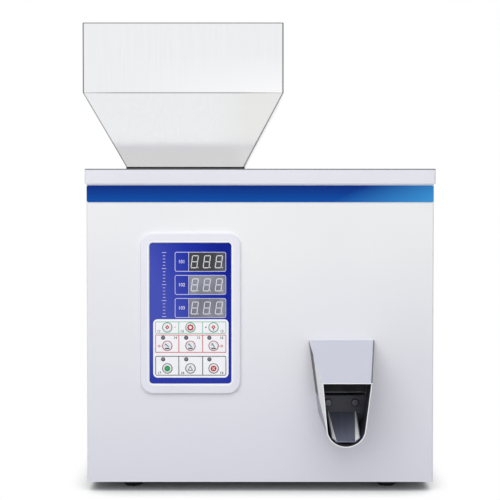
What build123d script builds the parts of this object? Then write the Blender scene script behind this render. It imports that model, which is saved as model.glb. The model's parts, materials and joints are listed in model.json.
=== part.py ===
from build123d import *
import math
import os

# Bench-top powder filling machine. Millimetres.
# While it is modelled, x = 0 and y = 0 are the middle of the case, z = 0 is the bench,
# and the operator stands at -Y. to_row() then moves everything so that the origin is
# the bottom centre of the whole machine.

# Case
case_width = 347.0
case_depth = 200.0
foot_height = 9.5
case_top = 322.3
sheet = 1.2
case_bend = 2.0
rear_return = 12.0
lid_height = 15.0
lid_gap = 0.3
base_flange = 15.0
screw_head_radius = 3.8
screw_head_height = 1.8
screw_shank_radius = 1.9

# Feet
foot_x = 130.0
foot_y = 74.0
foot_radius = 13.0
foot_tip_radius = 9.5
foot_nut_width = 7.0
foot_stud_radius = 2.0

# Blue strip under the lid
strip_inset = 0.5
strip_height = 16.8
strip_drop = 1.5
strip_thickness = 0.6

# Hopper
hopper_x = -77.0
hopper_y = -4.0
hopper_width = 201.0
hopper_depth = 184.0
hopper_straight = 70.0
hopper_taper = 73.4
hopper_sheet = 1.0
hopper_hem = 7.0
hem_build = 2.2
throat_width = 122.0
throat_depth = 122.0
hopper_bend = 1.8
hopper_rim_radius = 0.7
neck_width = 113.0
neck_depth = 114.0
neck_gap = 1.0
gasket_thickness = 2.5
gate_opening = 22.0
gate_thickness = 1.2
gate_rest = 6.0
gate_height = 32.0
gate_travel = 15.0
gate_stud_radius = 2.0
gate_stud_spread = 35.0

# Feeder tray and its vibrator
tray_floor = 284.0
tray_sheet = 1.0
tray_wall = 25.0
tray_rear = -146.0
tray_shoulder = -5.0
tray_lip = 62.0
tray_side_gap = 5.0
lip_width = 46.0
neck_tray_gap = 3.5
spring_lean = 20.0
spring_thickness = 1.0
spring_width = 40.0
stand_top = 195.0
stand_sheet = 2.0
stand_half = 48.0
stand_behind = 30.0
stand_ahead = 22.0
stand_border = 25.0
stand_rail = 35.0
stand_corner = 8.0
stand_foot = 14.0
mount_height = 10.0
vibrator_rear = -105.0
vibrator_length = 80.0
vibrator_width = 54.0
vibrator_height = 22.0
tray_block_height = 24.0
core_length = 28.0
core_depth = 26.0
core_height = 30.0
core_leg = 4.5
core_tongue = 10.0
armature_gap = 1.8
armature_thickness = 5.0

# Weighing bucket, its flap and the solenoid that opens it
bucket_x = 81.5
bucket_y = -18.0
bucket_top = 278.0
bucket_bottom = 222.0
bucket_top_width = 62.0
bucket_top_depth = 72.0
bucket_low_width = 46.0
bucket_low_depth = 46.0
bucket_sheet = 0.8
flap_gap = 0.4
flap_thickness = 1.0
flap_swing = 50.0
pin_radius = 1.25
pin_clearance = 0.08
knuckle_radius = 3.0
lever_length = 20.0
lever_thickness = 3.0
plunger_radius = 4.0
plunger_tip_radius = 2.5
collar_thickness = 2.0
plunger_gap = 0.4
plunger_clearance = 0.1
solenoid_width = 25.0
solenoid_top = 188.0
solenoid_height = 48.0
cell_length = 80.0
cell_section = 12.7
cell_pad = 9.8
cradle_thickness = 3.0
cradle_border = 7.0
post_width = 25.0
post_foot_margin = 6.0
post_foot_reach = 20.0
post_foot_thickness = 6.0
post_rib_thickness = 6.0
post_rib_height = 84.0
post_gap = 0.65

# Chute and discharge spout
chute_width = 56.0
chute_rim = 205.0
window_bottom = 97.0
window_top = 148.0
window_width = 54.0
spout_reach = 60.0
spout_sheet = 1.0
spout_top_half = 32.9
spout_top = 152.0
spout_round = 23.7
spout_round_z = 85.2
mouth_top_half = 23.6
mouth_top = 120.9
mouth_round = 18.2
mouth_round_z = 73.9
mouth_lean = 11.5
tongue_start = 80.0
tongue_end = 61.6
tongue_half = 13.5
tongue_end_half = 9.2
tongue_wing = 1.6
tongue_end_wing = 4.6

# Control panel
panel_x = -69.6
panel_z = 179.3
panel_width = 100.0
panel_height = 161.0
panel_corner = 13.0
panel_proud = 3.5
overlay_width = 81.4
overlay_height = 140.4
overlay_corner = 3.2
overlay_thickness = 0.8
overlay_recess = 1.5
fit_gap = 0.3
housing_floor = 1.6
housing_wall = 1.6
housing_depth = 7.6
display_x = -52.9
display_top_z = 230.8
display_pitch = 23.1
display_width = 35.4
display_height = 18.2
key_columns = (-92.7, -69.6, -46.5)
key_rows = (165.2, 146.8, 124.1)
key_radius = 4.4
key_travel = 0.8
key_stem_radius = 2.2
key_tip_radius = 1.6
led_rows = (154.9, 133.3)
led_shift = -4.2
led_radius = 1.5
switch_size = 6.0
switch_height = 3.5
board_thickness = 1.6

# Side door
door_low = 62.0
door_high = 292.0
door_margin = 28.0
door_gap = 1.0
door_flange = 5.0
hinge_radius = 2.6
hinge_pin_radius = 1.2
hinge_height = 32.0
hinge_leaf = 1.0
hinge_leaf_width = 18.0
hinge_screw_inset = 5.0
hinge_screw_radius = 2.2
hinge_screw_height = 0.8
hinge_levels = (105.0, 250.0)
door_knob_radius = 8.0
door_knob_reach = 8.0
door_knob_inset = 24.0
door_knob_z = 177.0

# Rear fittings
rear_fitting_z = 48.0
inlet_inset = 53.5
inlet_width = 27.0
inlet_height = 20.0
inlet_length = 20.0
inlet_bend = 2.2
inlet_flange_width = 48.0
inlet_flange_height = 26.0
inlet_flange_bend = 4.0
inlet_flange_thickness = 2.2
inlet_mouth_half = 12.3
inlet_mouth_rise = 8.3
inlet_mouth_corner = 4.7
inlet_mouth_depth = 15.0
inlet_blade_width = 2.0
inlet_blade_height = 4.0
inlet_screw_inset = 4.0
inlet_screw_radius = 1.7
rocker_pitch = 42.0
fuse_pitch = 34.0
jack_pitch = 60.0
fuse_radius = 7.5
fuse_reach = 10.0
fuse_length = 27.0
fuse_floor = 4.0
jack_bore = 3.25
jack_length = 22.0
jack_nut = 6.0
rocker_swing = 20.0
rocker_depth = 1.0
rocker_pin_radius = 1.2
rocker_pin_clearance = 0.08
rocker_half_height = 4.9
rocker_pin_reach = 1.0
supply_inset = 8.0
supply_length = 112.0
supply_width = 78.0
supply_height = 36.0
supply_slots = 10
supply_slot_pitch = 7.0
supply_slot_length = 44.0
supply_slot_width = 3.0
terminal_depth = 14.0
terminal_height = 14.0
louvre_inset = 58.5
louvre_column_pitch = 60.0
louvre_top = 52.0
louvre_rows = 9
louvre_width = 44.0
louvre_height = 3.0
louvre_pitch = 9.0

# Worked-out places
half_w = case_width / 2
half_d = case_depth / 2
inner_w = half_w - sheet
inner_d = half_d - sheet
base_top = foot_height + sheet
front = -half_d
lid_top = case_top + sheet
lid_half_w = half_w + lid_gap + sheet
lid_half_d = half_d + lid_gap + sheet
throat_z = lid_top + gasket_thickness
hopper_fold = throat_z + hopper_taper
hopper_top = hopper_fold + hopper_straight
neck_bottom = tray_floor + neck_tray_gap
neck_right = hopper_x + neck_width / 2
gate_outer = neck_right - hopper_sheet - fit_gap
gate_low = tray_floor + gate_rest
stud_z = tray_floor + 30.0
overlay_front = front - panel_proud + overlay_recess
overlay_back = overlay_front + overlay_thickness
floor_back = overlay_back + housing_floor
board_front = front + housing_depth
board_back = board_front + board_thickness
switch_front = board_front - switch_height
cradle_middle = bucket_bottom + 0.75 * (bucket_top - bucket_bottom)
cradle_low = cradle_middle - cradle_thickness / 2
cell_bottom = cradle_low - cell_pad - cell_section
cell_y = half_d - fuse_length - post_gap - cell_section / 2
inlet_x = half_w - inlet_inset
rocker_x = inlet_x - rocker_pitch
fuse_x = rocker_x - fuse_pitch
jack_x = fuse_x - jack_pitch
louvre_x = half_w - louvre_inset
door_half = half_d - door_margin
door_knob_y = -door_half + door_knob_inset
hinge_y = door_half - door_gap / 2
hinge_x = half_w + hinge_radius + 0.2
door_knob_x = half_w + door_knob_reach
flap_y = bucket_y + bucket_low_depth / 2 + 4.0
flap_z = bucket_bottom - knuckle_radius
lever_drop = math.radians(flap_swing / 2)
lever_y = flap_y + lever_length * math.cos(lever_drop)
lever_z = flap_z - lever_length * math.sin(lever_drop)
plunger_y = lever_y + lever_length * (1 - math.cos(lever_drop)) / 2
plunger_top = lever_z - knuckle_radius - plunger_gap
plunger_ratio = 2 * lever_length * math.sin(lever_drop) / math.radians(flap_swing)
plunger_travel = 2 * lever_length * math.sin(lever_drop)
spring_slope = math.tan(math.radians(spring_lean))
block_low = stand_top + mount_height
block_high = block_low + vibrator_height
tray_block_high = tray_floor - tray_sheet
tray_block_low = tray_block_high - tray_block_height
core_x = vibrator_rear - (block_high - block_low) * spring_slope + 22.0
core_face = core_x + core_length
vibrator_y = hopper_y
chute_half = chute_width / 2
rear_reach = fuse_reach
x_shift = -(door_knob_x - lid_half_w - screw_head_height) / 2
y_shift = (spout_reach - rear_reach) / 2


# Small helpers
def block(x, y, z):
    """A box from its (low, high) pair along each axis."""
    size = (x[1] - x[0], y[1] - y[0], z[1] - z[0])
    return Pos((x[0] + x[1]) / 2, (y[0] + y[1]) / 2, (z[0] + z[1]) / 2) * Box(*size)


def patch(x, y):
    """A flat rectangle from its (low, high) pairs."""
    return Pos((x[0] + x[1]) / 2, (y[0] + y[1]) / 2) * Rectangle(x[1] - x[0], y[1] - y[0])


def along_x(sketch, low, high):
    """A (Y, Z) sketch made solid from x = low to high."""
    side = Plane(origin=(low, 0, 0), x_dir=(0, 1, 0), z_dir=(1, 0, 0))
    return extrude(side * sketch, amount=high - low)


def along_y(sketch, low, high):
    """An (X, Z) sketch made solid from y = low to high."""
    face = Plane(origin=(0, high, 0), x_dir=(1, 0, 0), z_dir=(0, -1, 0))
    return extrude(face * sketch, amount=high - low)


def along_z(sketch, low, high):
    """An (X, Y) sketch made solid from z = low to high."""
    return extrude(Plane.XY.offset(low) * sketch, amount=high - low)


def rod_x(radius, y, z, low, high):
    return along_x(Pos(y, z) * Circle(radius), low, high)


def rod_y(radius, x, z, low, high):
    return along_y(Pos(x, z) * Circle(radius), low, high)


def rod_z(radius, x, y, low, high):
    return along_z(Pos(x, y) * Circle(radius), low, high)


def polygon(points):
    return make_face(Polyline(*points, close=True))


def prism_loft(low_size, low_z, high_size, high_z, x, y):
    """A four-sided funnel body between two level rectangles."""
    low = Plane.XY.offset(low_z) * Pos(x, y) * Rectangle(*low_size)
    high = Plane.XY.offset(high_z) * Pos(x, y) * Rectangle(*high_size)
    return loft([low, high], ruled=True)


# Case
def case_wrap():
    """Front and both sides, folded from one sheet, with narrow returns at the rear."""
    outline = RectangleRounded(case_width, case_depth + 2 * case_bend, case_bend)
    body = along_z(Pos(0, case_bend) * outline, foot_height, case_top)
    body -= block((-case_width, case_width), (half_d, half_d * 2), (0, case_top * 2))
    inside = RectangleRounded(2 * inner_w, 2 * case_depth, case_bend - sheet)
    body -= along_z(Pos(0, case_depth - inner_d) * inside, 0, case_top * 2)
    for side in (-1, 1):
        ends = sorted((side * inner_w, side * (inner_w - rear_return)))
        body += block(ends, (inner_d - sheet, inner_d), (base_top + base_flange, case_top))
    body -= along_y(
        Pos(panel_x, panel_z) * Rectangle(overlay_width + 4.2, overlay_height + 4.2),
        front - sheet, front + 2 * sheet)
    body -= along_y(spout_window(), front - sheet, front + 2 * sheet)
    doorway = patch((-door_half, door_half), (door_low, door_high))
    body -= along_x(doorway, inner_w - sheet, half_w + sheet)
    for x, z in spout_screw_places():
        body -= rod_y(screw_shank_radius, x, z, front - sheet, front + 2 * sheet)
    for place in rear_screw_places():
        body -= rod_y(screw_shank_radius, *place, inner_d - 2 * sheet, inner_d)
    for y in lid_screw_rows():
        body -= rod_x(screw_shank_radius, y, lid_screw_z(), -2 * half_w, 2 * half_w)
    return body


def base_pan():
    """Bottom plate with four short upturned flanges, inside the wrap."""
    outline = RectangleRounded(2 * inner_w, 2 * inner_d, case_bend - sheet + 0.2)
    body = along_z(outline, foot_height, base_top + base_flange)
    body -= block((-inner_w + sheet, inner_w - sheet), (-inner_d + sheet, inner_d - sheet),
                  (base_top, case_top))
    for x, y in foot_places():
        body -= rod_z(foot_stud_radius, x, y, 0, base_top + 1)
    for place in rear_screw_places():
        if place[1] < base_top + base_flange:
            body -= rod_y(screw_shank_radius, *place, inner_d - 2 * sheet, inner_d + 1)
    return body


def rear_panel():
    """Flat back with louvre slots and the cut-outs of the electrical fittings."""
    body = block((-inner_w, inner_w), (inner_d, half_d), (foot_height, case_top))
    cuts = [Pos(x, z) * Circle(screw_shank_radius) for x, z in rear_screw_places()]
    inlet_size = (inlet_width + 2 * fit_gap, inlet_height + 2 * fit_gap)
    cuts += [Pos(inlet_x, rear_fitting_z) * RectangleRounded(*inlet_size, inlet_bend + fit_gap)]
    cuts += [Pos(rocker_x, rear_fitting_z) * Rectangle(19.4, 13.4)]
    cuts += [Pos(fuse_x, rear_fitting_z) * Circle(fuse_radius - 1.2)]
    cuts += [Pos(jack_x, rear_fitting_z) * Circle(jack_nut - 1.3)]
    inner = louvre_x - louvre_column_pitch
    for x in (-louvre_x, -inner, inner, louvre_x):
        for row in range(louvre_rows):
            z = case_top - louvre_top - row * louvre_pitch
            cuts += [Pos(x, z) * SlotOverall(louvre_width, louvre_height)]
    return body - along_y(Sketch() + cuts, inner_d - 1, half_d + 1)


def lid():
    """Shallow folded cap that overlaps the case, with the square hole for the hopper's neck."""
    body = block((-lid_half_w, lid_half_w), (-lid_half_d, lid_half_d), (lid_top - lid_height, lid_top))
    body = fillet(body.edges().filter_by(Axis.Z), case_bend + lid_gap)
    body = fillet(body.faces().sort_by(Axis.Z)[-1].edges(), sheet * 0.8)
    inner = RectangleRounded(2 * (half_w + lid_gap), 2 * (half_d + lid_gap), case_bend - sheet)
    body -= along_z(inner, 0, case_top)
    hole = Pos(hopper_x, hopper_y) * Rectangle(neck_width + 2 * neck_gap, neck_depth + 2 * neck_gap)
    body -= along_z(hole, 0, hopper_top)
    for y in lid_screw_rows():
        body -= rod_x(screw_shank_radius, y, lid_screw_z(), -2 * half_w, 2 * half_w)
    return body


def front_strip():
    """Thin plain strip across the front, under the lid."""
    centre_z = lid_top - lid_height - strip_drop - strip_height / 2
    outline = Pos(0, centre_z) * RectangleRounded(case_width - 2 * strip_inset, strip_height, 2.0)
    return along_y(outline, front - strip_thickness, front)


def foot_places():
    return [(x, y) for x in (-foot_x, foot_x) for y in (-foot_y, foot_y)]


def lid_screw_rows():
    return (-half_d * 0.6, half_d * 0.6)


def lid_screw_z():
    return lid_top - lid_height / 2 - 1.0


def rear_screw_places():
    """The wrap's returns take the side screws, and the base flange the low ones."""
    side_x = inner_w - rear_return / 2
    levels = (case_top * 0.35, case_top * 0.62, lid_top - lid_height - 12.0)
    places = [(s * side_x, z) for s in (-1, 1) for z in levels]
    return places + [(x, base_top + base_flange / 2) for x in (-half_w * 0.5, half_w * 0.5)]


def spout_screw_places():
    return [(bucket_x + s * tongue_half, window_bottom - 7.0) for s in (-1, 1)]


def rubber_feet():
    """Four domed rubber feet, each with a moulded-in stud."""
    feet = []
    for x, y in foot_places():
        profile = Polyline((0, 0), (foot_tip_radius - 1.5, 0), (foot_tip_radius, 1.5),
                           (foot_radius, foot_height - 2.0), (foot_radius, foot_height),
                           (0, foot_height), close=True)
        foot = revolve(Plane.XZ * make_face(profile), Axis.Z)
        foot += rod_z(foot_stud_radius, 0, 0, foot_height, base_top + 5.0)
        feet.append(Pos(x, y) * foot)
    return feet


def pan_head(recess=2.0):
    """Pan-head screw with a cross recess, head upwards from z = 0, shank below."""
    head = Cylinder(screw_head_radius, screw_head_height, align=(Align.CENTER, Align.CENTER, Align.MIN))
    head = fillet(head.edges().sort_by(Axis.Z)[-1:], 0.9)
    arms = Box(2 * recess, 0.9, 1.2) + Box(0.9, 2 * recess, 1.2)
    shank = Cylinder(screw_shank_radius, 6.0, align=(Align.CENTER, Align.CENTER, Align.MAX))
    return head + shank - Pos(0, 0, screw_head_height) * arms


def case_fasteners():
    """Screws of the lid, rear panel and spout, and the nuts on the feet's studs."""
    pieces = []
    for x, z in rear_screw_places():
        pieces.append(Pos(x, half_d, z) * Rot(-90, 0, 0) * pan_head())
    for y in lid_screw_rows():
        pieces.append(Pos(-lid_half_w, y, lid_screw_z()) * Rot(0, -90, 0) * pan_head())
        pieces.append(Pos(lid_half_w, y, lid_screw_z()) * Rot(0, 90, 0) * pan_head())
    for x, z in spout_screw_places():
        pieces.append(Pos(x, front - 2 * spout_sheet, z) * Rot(90, 0, 0) * pan_head())
    nut = RegularPolygon(foot_nut_width / 2, 6, major_radius=False) - Circle(foot_stud_radius)
    for x, y in foot_places():
        pieces.append(along_z(Pos(x, y) * nut, base_top, base_top + 3.2))
    return pieces


# Side door
def side_door():
    """Inset door of the right side: a shallow pan, flush with the case."""
    y = (-door_half + door_gap, door_half - door_gap)
    z = (door_low + door_gap, door_high - door_gap)
    body = block((half_w - sheet - door_flange, half_w), y, z)
    body -= block((0, half_w - sheet), (y[0] + sheet, y[1] - sheet), (z[0] + sheet, z[1] - sheet))
    return body - rod_x(screw_shank_radius, door_knob_y, door_knob_z, 0, 2 * half_w)


def hinge_leaf_solid(level, segment, of_door):
    """One hinge leaf with its knuckles. segment is one third of the hinge's height."""
    low = level - hinge_height / 2
    spans = [(low, low + segment), (low + 2 * segment, low + 3 * segment)]
    if of_door:
        spans = [(low + segment + fit_gap, low + 2 * segment - fit_gap)]
    side = -1 if of_door else 1
    bore = hinge_pin_radius + (0.07 if of_door else 0)
    edge = sorted((hinge_y + side * (hinge_radius + fit_gap), hinge_y + side * hinge_leaf_width))
    leaf = block((half_w, half_w + hinge_leaf), edge, (low, low + hinge_height))
    for z_low, z_high in spans:
        leaf += rod_z(hinge_radius, hinge_x, hinge_y, z_low, z_high)
        tail = sorted((hinge_y, hinge_y + side * (hinge_radius + 1.0)))
        leaf += block((half_w, half_w + hinge_leaf), tail, (z_low, z_high))
    leaf -= rod_z(bore, hinge_x, hinge_y, low - 1, low + hinge_height + 1)
    for z in (low + segment / 2, low + 2.5 * segment):
        y = hinge_y + side * (hinge_leaf_width - hinge_screw_inset)
        leaf += rod_x(hinge_screw_radius, y, z, half_w, half_w + hinge_leaf + hinge_screw_height)
    return leaf


def door_hinges():
    """Case-side leaves and the pins of the two hinges."""
    pieces = []
    for level in hinge_levels:
        pieces.append(hinge_leaf_solid(level, hinge_height / 3, False))
        reach = hinge_height / 2
        pieces.append(rod_z(hinge_pin_radius, hinge_x, hinge_y, level - reach, level + reach))
    return pieces


def hinge_door_leaves():
    return [hinge_leaf_solid(level, hinge_height / 3, True) for level in hinge_levels]


def door_knob():
    """Turned pull knob, screwed through the door."""
    profile = Polyline((0, 0), (4.0, 0), (3.4, 2.4), (door_knob_radius, 4.4),
                       (door_knob_radius, door_knob_reach - 1.2),
                       (door_knob_radius - 1.2, door_knob_reach), (0, door_knob_reach), close=True)
    knob = revolve(Plane.XZ * make_face(profile), Axis.Z)
    knob += Cylinder(screw_shank_radius, sheet, align=(Align.CENTER, Align.CENTER, Align.MAX))
    knob += Pos(0, 0, -sheet) * Cylinder(4.0, 2.5, align=(Align.CENTER, Align.CENTER, Align.MAX))
    return Pos(half_w, door_knob_y, door_knob_z) * Rot(0, 90, 0) * knob


def door_magnet():
    """Magnetic catch on the inside of the case, behind the door's front edge."""
    reach = half_w - sheet - door_flange - fit_gap
    body = block((reach - 9.0, reach), (-door_half - 4.0, -door_half + 6.0),
                 (door_knob_z - 18.0, door_knob_z + 18.0))
    foot = block((reach - 9.0, inner_w), (-door_half - 12.0, -door_half - 4.0),
                 (door_knob_z - 18.0, door_knob_z + 18.0))
    return body + foot


# Hopper
def hopper_outside():
    """The hopper's outer form, with the bends of its corners."""
    low = Pos(hopper_x, hopper_y, throat_z) * RectangleRounded(throat_width, throat_depth, hopper_bend)
    box = Pos(hopper_x, hopper_y) * RectangleRounded(hopper_width, hopper_depth, hopper_bend)
    return loft([low, Pos(0, 0, hopper_fold) * box], ruled=True) + along_z(box, hopper_fold, hopper_top)


def hopper_inside():
    """The room inside the hopper, one sheet smaller all round."""
    two = 2 * hopper_sheet
    body = prism_loft((throat_width - two, throat_depth - two), throat_z,
                      (hopper_width - two, hopper_depth - two), hopper_fold, hopper_x, hopper_y)
    box = Pos(hopper_x, hopper_y) * Rectangle(hopper_width - two, hopper_depth - two)
    return body + along_z(box, hopper_fold, hopper_top + hopper_sheet)


def hopper():
    """Square steel hopper with a hemmed rim, tapering to a straight neck inside the case."""
    hem = RectangleRounded(hopper_width, hopper_depth, hopper_bend)
    hem -= Rectangle(hopper_width - 2 * hem_build, hopper_depth - 2 * hem_build)
    body = hopper_outside() - hopper_inside()
    body += along_z(Pos(hopper_x, hopper_y) * hem, hopper_top - hopper_hem, hopper_top)
    foot = Rectangle(throat_width - hopper_sheet, throat_depth - hopper_sheet)
    body += along_z(Pos(hopper_x, hopper_y) * foot, throat_z, throat_z + hopper_sheet)
    outer = Rectangle(neck_width, neck_depth)
    body += along_z(Pos(hopper_x, hopper_y) * outer, neck_bottom, throat_z)
    bore = Rectangle(neck_width - 2 * hopper_sheet, neck_depth - 2 * hopper_sheet)
    body -= along_z(Pos(hopper_x, hopper_y) * bore, neck_bottom - 1, throat_z + 2 * hopper_sheet)
    outlet = neck_depth / 2 - 3.0
    body -= block((neck_right - 2 * hopper_sheet, neck_right + 1), (hopper_y - outlet, hopper_y + outlet),
                  (neck_bottom - 1, tray_floor + gate_opening))
    for y in gate_stud_rows():
        body += rod_x(gate_stud_radius, y, stud_z, neck_right - 11.0, neck_right - hopper_sheet)
    rim = [edge for edge in body.edges() if edge.center().Z > hopper_top - 0.01]
    return fillet(ShapeList(rim), hopper_rim_radius)


def gate_stud_rows():
    return (hopper_y - gate_stud_spread, hopper_y + gate_stud_spread)


def hopper_gasket():
    """Black seal between the hopper's foot and the lid."""
    ring = RectangleRounded(throat_width, throat_depth, hopper_bend)
    ring -= Rectangle(neck_width + 2 * neck_gap, neck_depth + 2 * neck_gap)
    return along_z(Pos(hopper_x, hopper_y) * ring, lid_top, throat_z)


def flow_gate():
    """Sliding plate that sets how thick a layer of powder leaves the neck."""
    half = neck_depth / 2 - hopper_sheet - 2.0
    plate = block((gate_outer - gate_thickness, gate_outer), (hopper_y - half, hopper_y + half),
                  (gate_low, gate_low + gate_height))
    for y in gate_stud_rows():
        length = gate_travel + 2 * (gate_stud_radius + fit_gap)
        slot = SlotOverall(length, 2 * (gate_stud_radius + fit_gap))
        slot = Pos(y, stud_z - gate_travel / 2) * Rot(0, 0, 90) * slot
        plate -= along_x(slot, gate_outer - 2 * gate_thickness, gate_outer + 1)
    return plate


def gate_nuts():
    """Knurled nuts that clamp the gate to its two studs."""
    nuts = []
    for y in gate_stud_rows():
        outline = Circle(6.0)
        for turn in range(16):
            outline -= Rot(0, 0, turn * 22.5) * Pos(6.2, 0) * Circle(0.6)
        outline -= Circle(gate_stud_radius)
        face = gate_outer - gate_thickness - fit_gap
        nuts.append(along_x(Pos(y, stud_z) * outline, face - 4.5, face))
    return nuts


# Feeder
def tray_plan(grow):
    """Plan of the tray: wide under the hopper, narrowing to the lip over the bucket."""
    wide = neck_depth / 2 + tray_side_gap + grow
    lip = lip_width / 2 + grow
    return polygon([(tray_rear - grow, hopper_y - wide), (tray_shoulder, hopper_y - wide),
                    (tray_lip, bucket_y - lip), (tray_lip, bucket_y + lip),
                    (tray_shoulder, hopper_y + wide), (tray_rear - grow, hopper_y + wide)])


def feed_tray():
    """Stainless vibrating tray, open at the lip."""
    body = along_z(tray_plan(tray_sheet), tray_floor - tray_sheet, tray_floor + tray_wall)
    body -= along_z(tray_plan(0), tray_floor, tray_floor + 2 * tray_wall)
    body -= block((tray_lip - tray_sheet, tray_lip + 2), (bucket_y - lip_width / 2, bucket_y + lip_width / 2),
                  (tray_floor, tray_floor + 2 * tray_wall))
    return body


def lean_x(base_x, z):
    """x at height z on a line that leans back with the leaf springs."""
    return base_x - (z - block_low) * spring_slope


def leaning_block(x_low, x_high, z_low, z_high, half_y):
    """A block whose two ends lean with the springs."""
    side = polygon([(lean_x(x_low, z_low), z_low), (lean_x(x_high, z_low), z_low),
                    (lean_x(x_high, z_high), z_high), (lean_x(x_low, z_high), z_high)])
    return along_y(side, vibrator_y - half_y, vibrator_y + half_y)


def tray_block():
    """Aluminium block under the tray that the leaf springs carry."""
    rear, ahead = vibrator_rear, vibrator_rear + vibrator_length
    body = leaning_block(rear, ahead, tray_block_low, tray_block_high, spring_width / 2)
    pocket = block((core_x - 18.0, core_face + 22.0), (vibrator_y - 12.0, vibrator_y + 12.0),
                   (tray_block_low + 8.0, tray_block_high - 5.0))
    return body - pocket


def vibrator_base():
    """Heavy cast block that the tray vibrates against."""
    rear, ahead = vibrator_rear, vibrator_rear + vibrator_length
    body = leaning_block(rear, ahead, block_low, block_high, spring_width / 2)
    wing = block((lean_x(rear, block_low) + 6.0, lean_x(ahead, block_low) - 8.0),
                 (vibrator_y - vibrator_width / 2, vibrator_y + vibrator_width / 2),
                 (block_low, block_low + 9.0))
    return body + wing


def leaf_springs():
    """The two leaning leaf springs, one at each end of the blocks."""
    rear, ahead = vibrator_rear, vibrator_rear + vibrator_length
    lean = spring_thickness / math.cos(math.radians(spring_lean))
    return [leaning_block(rear - lean, rear, block_low, tray_block_high - 1.0, spring_width / 2),
            leaning_block(ahead, ahead + lean, block_low, tray_block_high - 1.0, spring_width / 2)]


def clamp_bars(z_low, z_high):
    """Clamp bars with two screw heads each, outside the springs between two heights."""
    rear, ahead = vibrator_rear, vibrator_rear + vibrator_length
    lean = spring_thickness / math.cos(math.radians(spring_lean))
    bars = []
    for side, near in ((-1, rear - lean), (1, ahead + lean)):
        far = near + side * 4.0
        bar = leaning_block(min(near, far), max(near, far), z_low, z_high, spring_width / 2)
        middle = (z_low + z_high) / 2
        for y in (vibrator_y - 12.0, vibrator_y + 12.0):
            head = Cylinder(3.2, 3.0, align=(Align.CENTER, Align.CENTER, Align.MIN))
            head -= Pos(0, 0, 3.0) * extrude(RegularPolygon(1.7, 6), amount=1.5, both=True)
            tilt = Rot(0, side * 90 - spring_lean, 0)
            bar += Pos(lean_x(far - side * 0.2, middle), y, middle) * tilt * head
        bars.append(bar)
    return bars


def magnet_core():
    """Laminated E-core on the base block, its three legs facing the armature."""
    body = block((core_x, core_face), (vibrator_y - core_depth / 2, vibrator_y + core_depth / 2),
                 (block_high, block_high + core_height))
    middle = block_high + core_height / 2
    inner = core_height / 2 - core_leg
    for side in (-1, 1):
        span = sorted((middle + side * core_tongue / 2, middle + side * inner))
        body -= block((core_x + 8.0, core_face + 1), (vibrator_y - 30.0, vibrator_y + 30.0), span)
    return body


def magnet_coil():
    """Winding around the core's middle leg."""
    middle = block_high + core_height / 2
    hollow = (core_depth + 2 * fit_gap, core_tongue + 2 * fit_gap)
    build = core_height / 2 - core_leg - core_tongue / 2 - fit_gap
    outer = (hollow[0] + 2 * (build - fit_gap), core_tongue + 2 * build)
    ring = RectangleRounded(*outer, 3.0) - Rectangle(*hollow)
    return along_x(Pos(vibrator_y, middle) * ring, core_x + 8.0 + fit_gap, core_face - 1.0)


def armature_plate():
    """Soft-iron plate that hangs from the tray block in front of the core."""
    low = block_high + 3.0
    near = core_face + armature_gap
    body = block((near, near + armature_thickness), (vibrator_y - 14.0, vibrator_y + 14.0),
                 (low, tray_block_low))
    return body + block((near, near + 12.0), (vibrator_y - 14.0, vibrator_y + 14.0),
                        (tray_block_low - 3.0, tray_block_low))


def mount_places():
    rear = lean_x(vibrator_rear, block_low) + 14.0
    ahead = lean_x(vibrator_rear + vibrator_length, block_low) - 16.0
    return [(x, vibrator_y + s * (vibrator_width / 2 - 8.0)) for x in (rear, ahead) for s in (-1, 1)]


def rubber_mounts():
    """Waisted rubber mounts between the base block and the stand."""
    mounts = []
    for x, y in mount_places():
        half = mount_height / 2
        profile = Curve() + [Line((0, -half), (6.5, -half)), ThreePointArc((6.5, -half), (5.0, 0), (6.5, half)),
                             Line((6.5, half), (0, half)), Line((0, half), (0, -half))]
        mount = revolve(Plane.XZ * make_face(profile), Axis.Z)
        mounts.append(Pos(x, y, stand_top + half) * mount)
    return mounts


def vibrator_stand():
    """Folded stand: a shelf on two walls with feet, screwed to the base pan."""
    x = (vibrator_rear - stand_behind, vibrator_rear + vibrator_length + stand_ahead)
    y = (vibrator_y - stand_half, vibrator_y + stand_half)
    body = block(x, y, (base_top, stand_top))
    body -= block((x[0] - 1, x[1] + 1), (y[0] + stand_sheet, y[1] - stand_sheet), (0, stand_top - stand_sheet))
    opening = Pos((x[0] + x[1]) / 2, (base_top + stand_top) / 2) * RectangleRounded(
        x[1] - x[0] - 2 * stand_border, stand_top - base_top - 2 * stand_rail, stand_corner)
    body -= along_y(opening, y[0] - 1, y[1] + 1)
    for side, edge in ((-1, y[0]), (1, y[1])):
        foot = sorted((edge, edge + side * stand_foot))
        body += block(x, foot, (base_top, base_top + stand_sheet))
    return body


# Weighing
def bucket_size(z, grow=0.0):
    """Width and depth of the bucket's outside at height z."""
    share = (z - bucket_bottom) / (bucket_top - bucket_bottom)
    width = bucket_low_width + share * (bucket_top_width - bucket_low_width)
    depth = bucket_low_depth + share * (bucket_top_depth - bucket_low_depth)
    return (width + 2 * grow, depth + 2 * grow)


def bucket_form(z_low, z_high, grow):
    return prism_loft(bucket_size(z_low, grow), z_low, bucket_size(z_high, grow), z_high, bucket_x, bucket_y)


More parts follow.
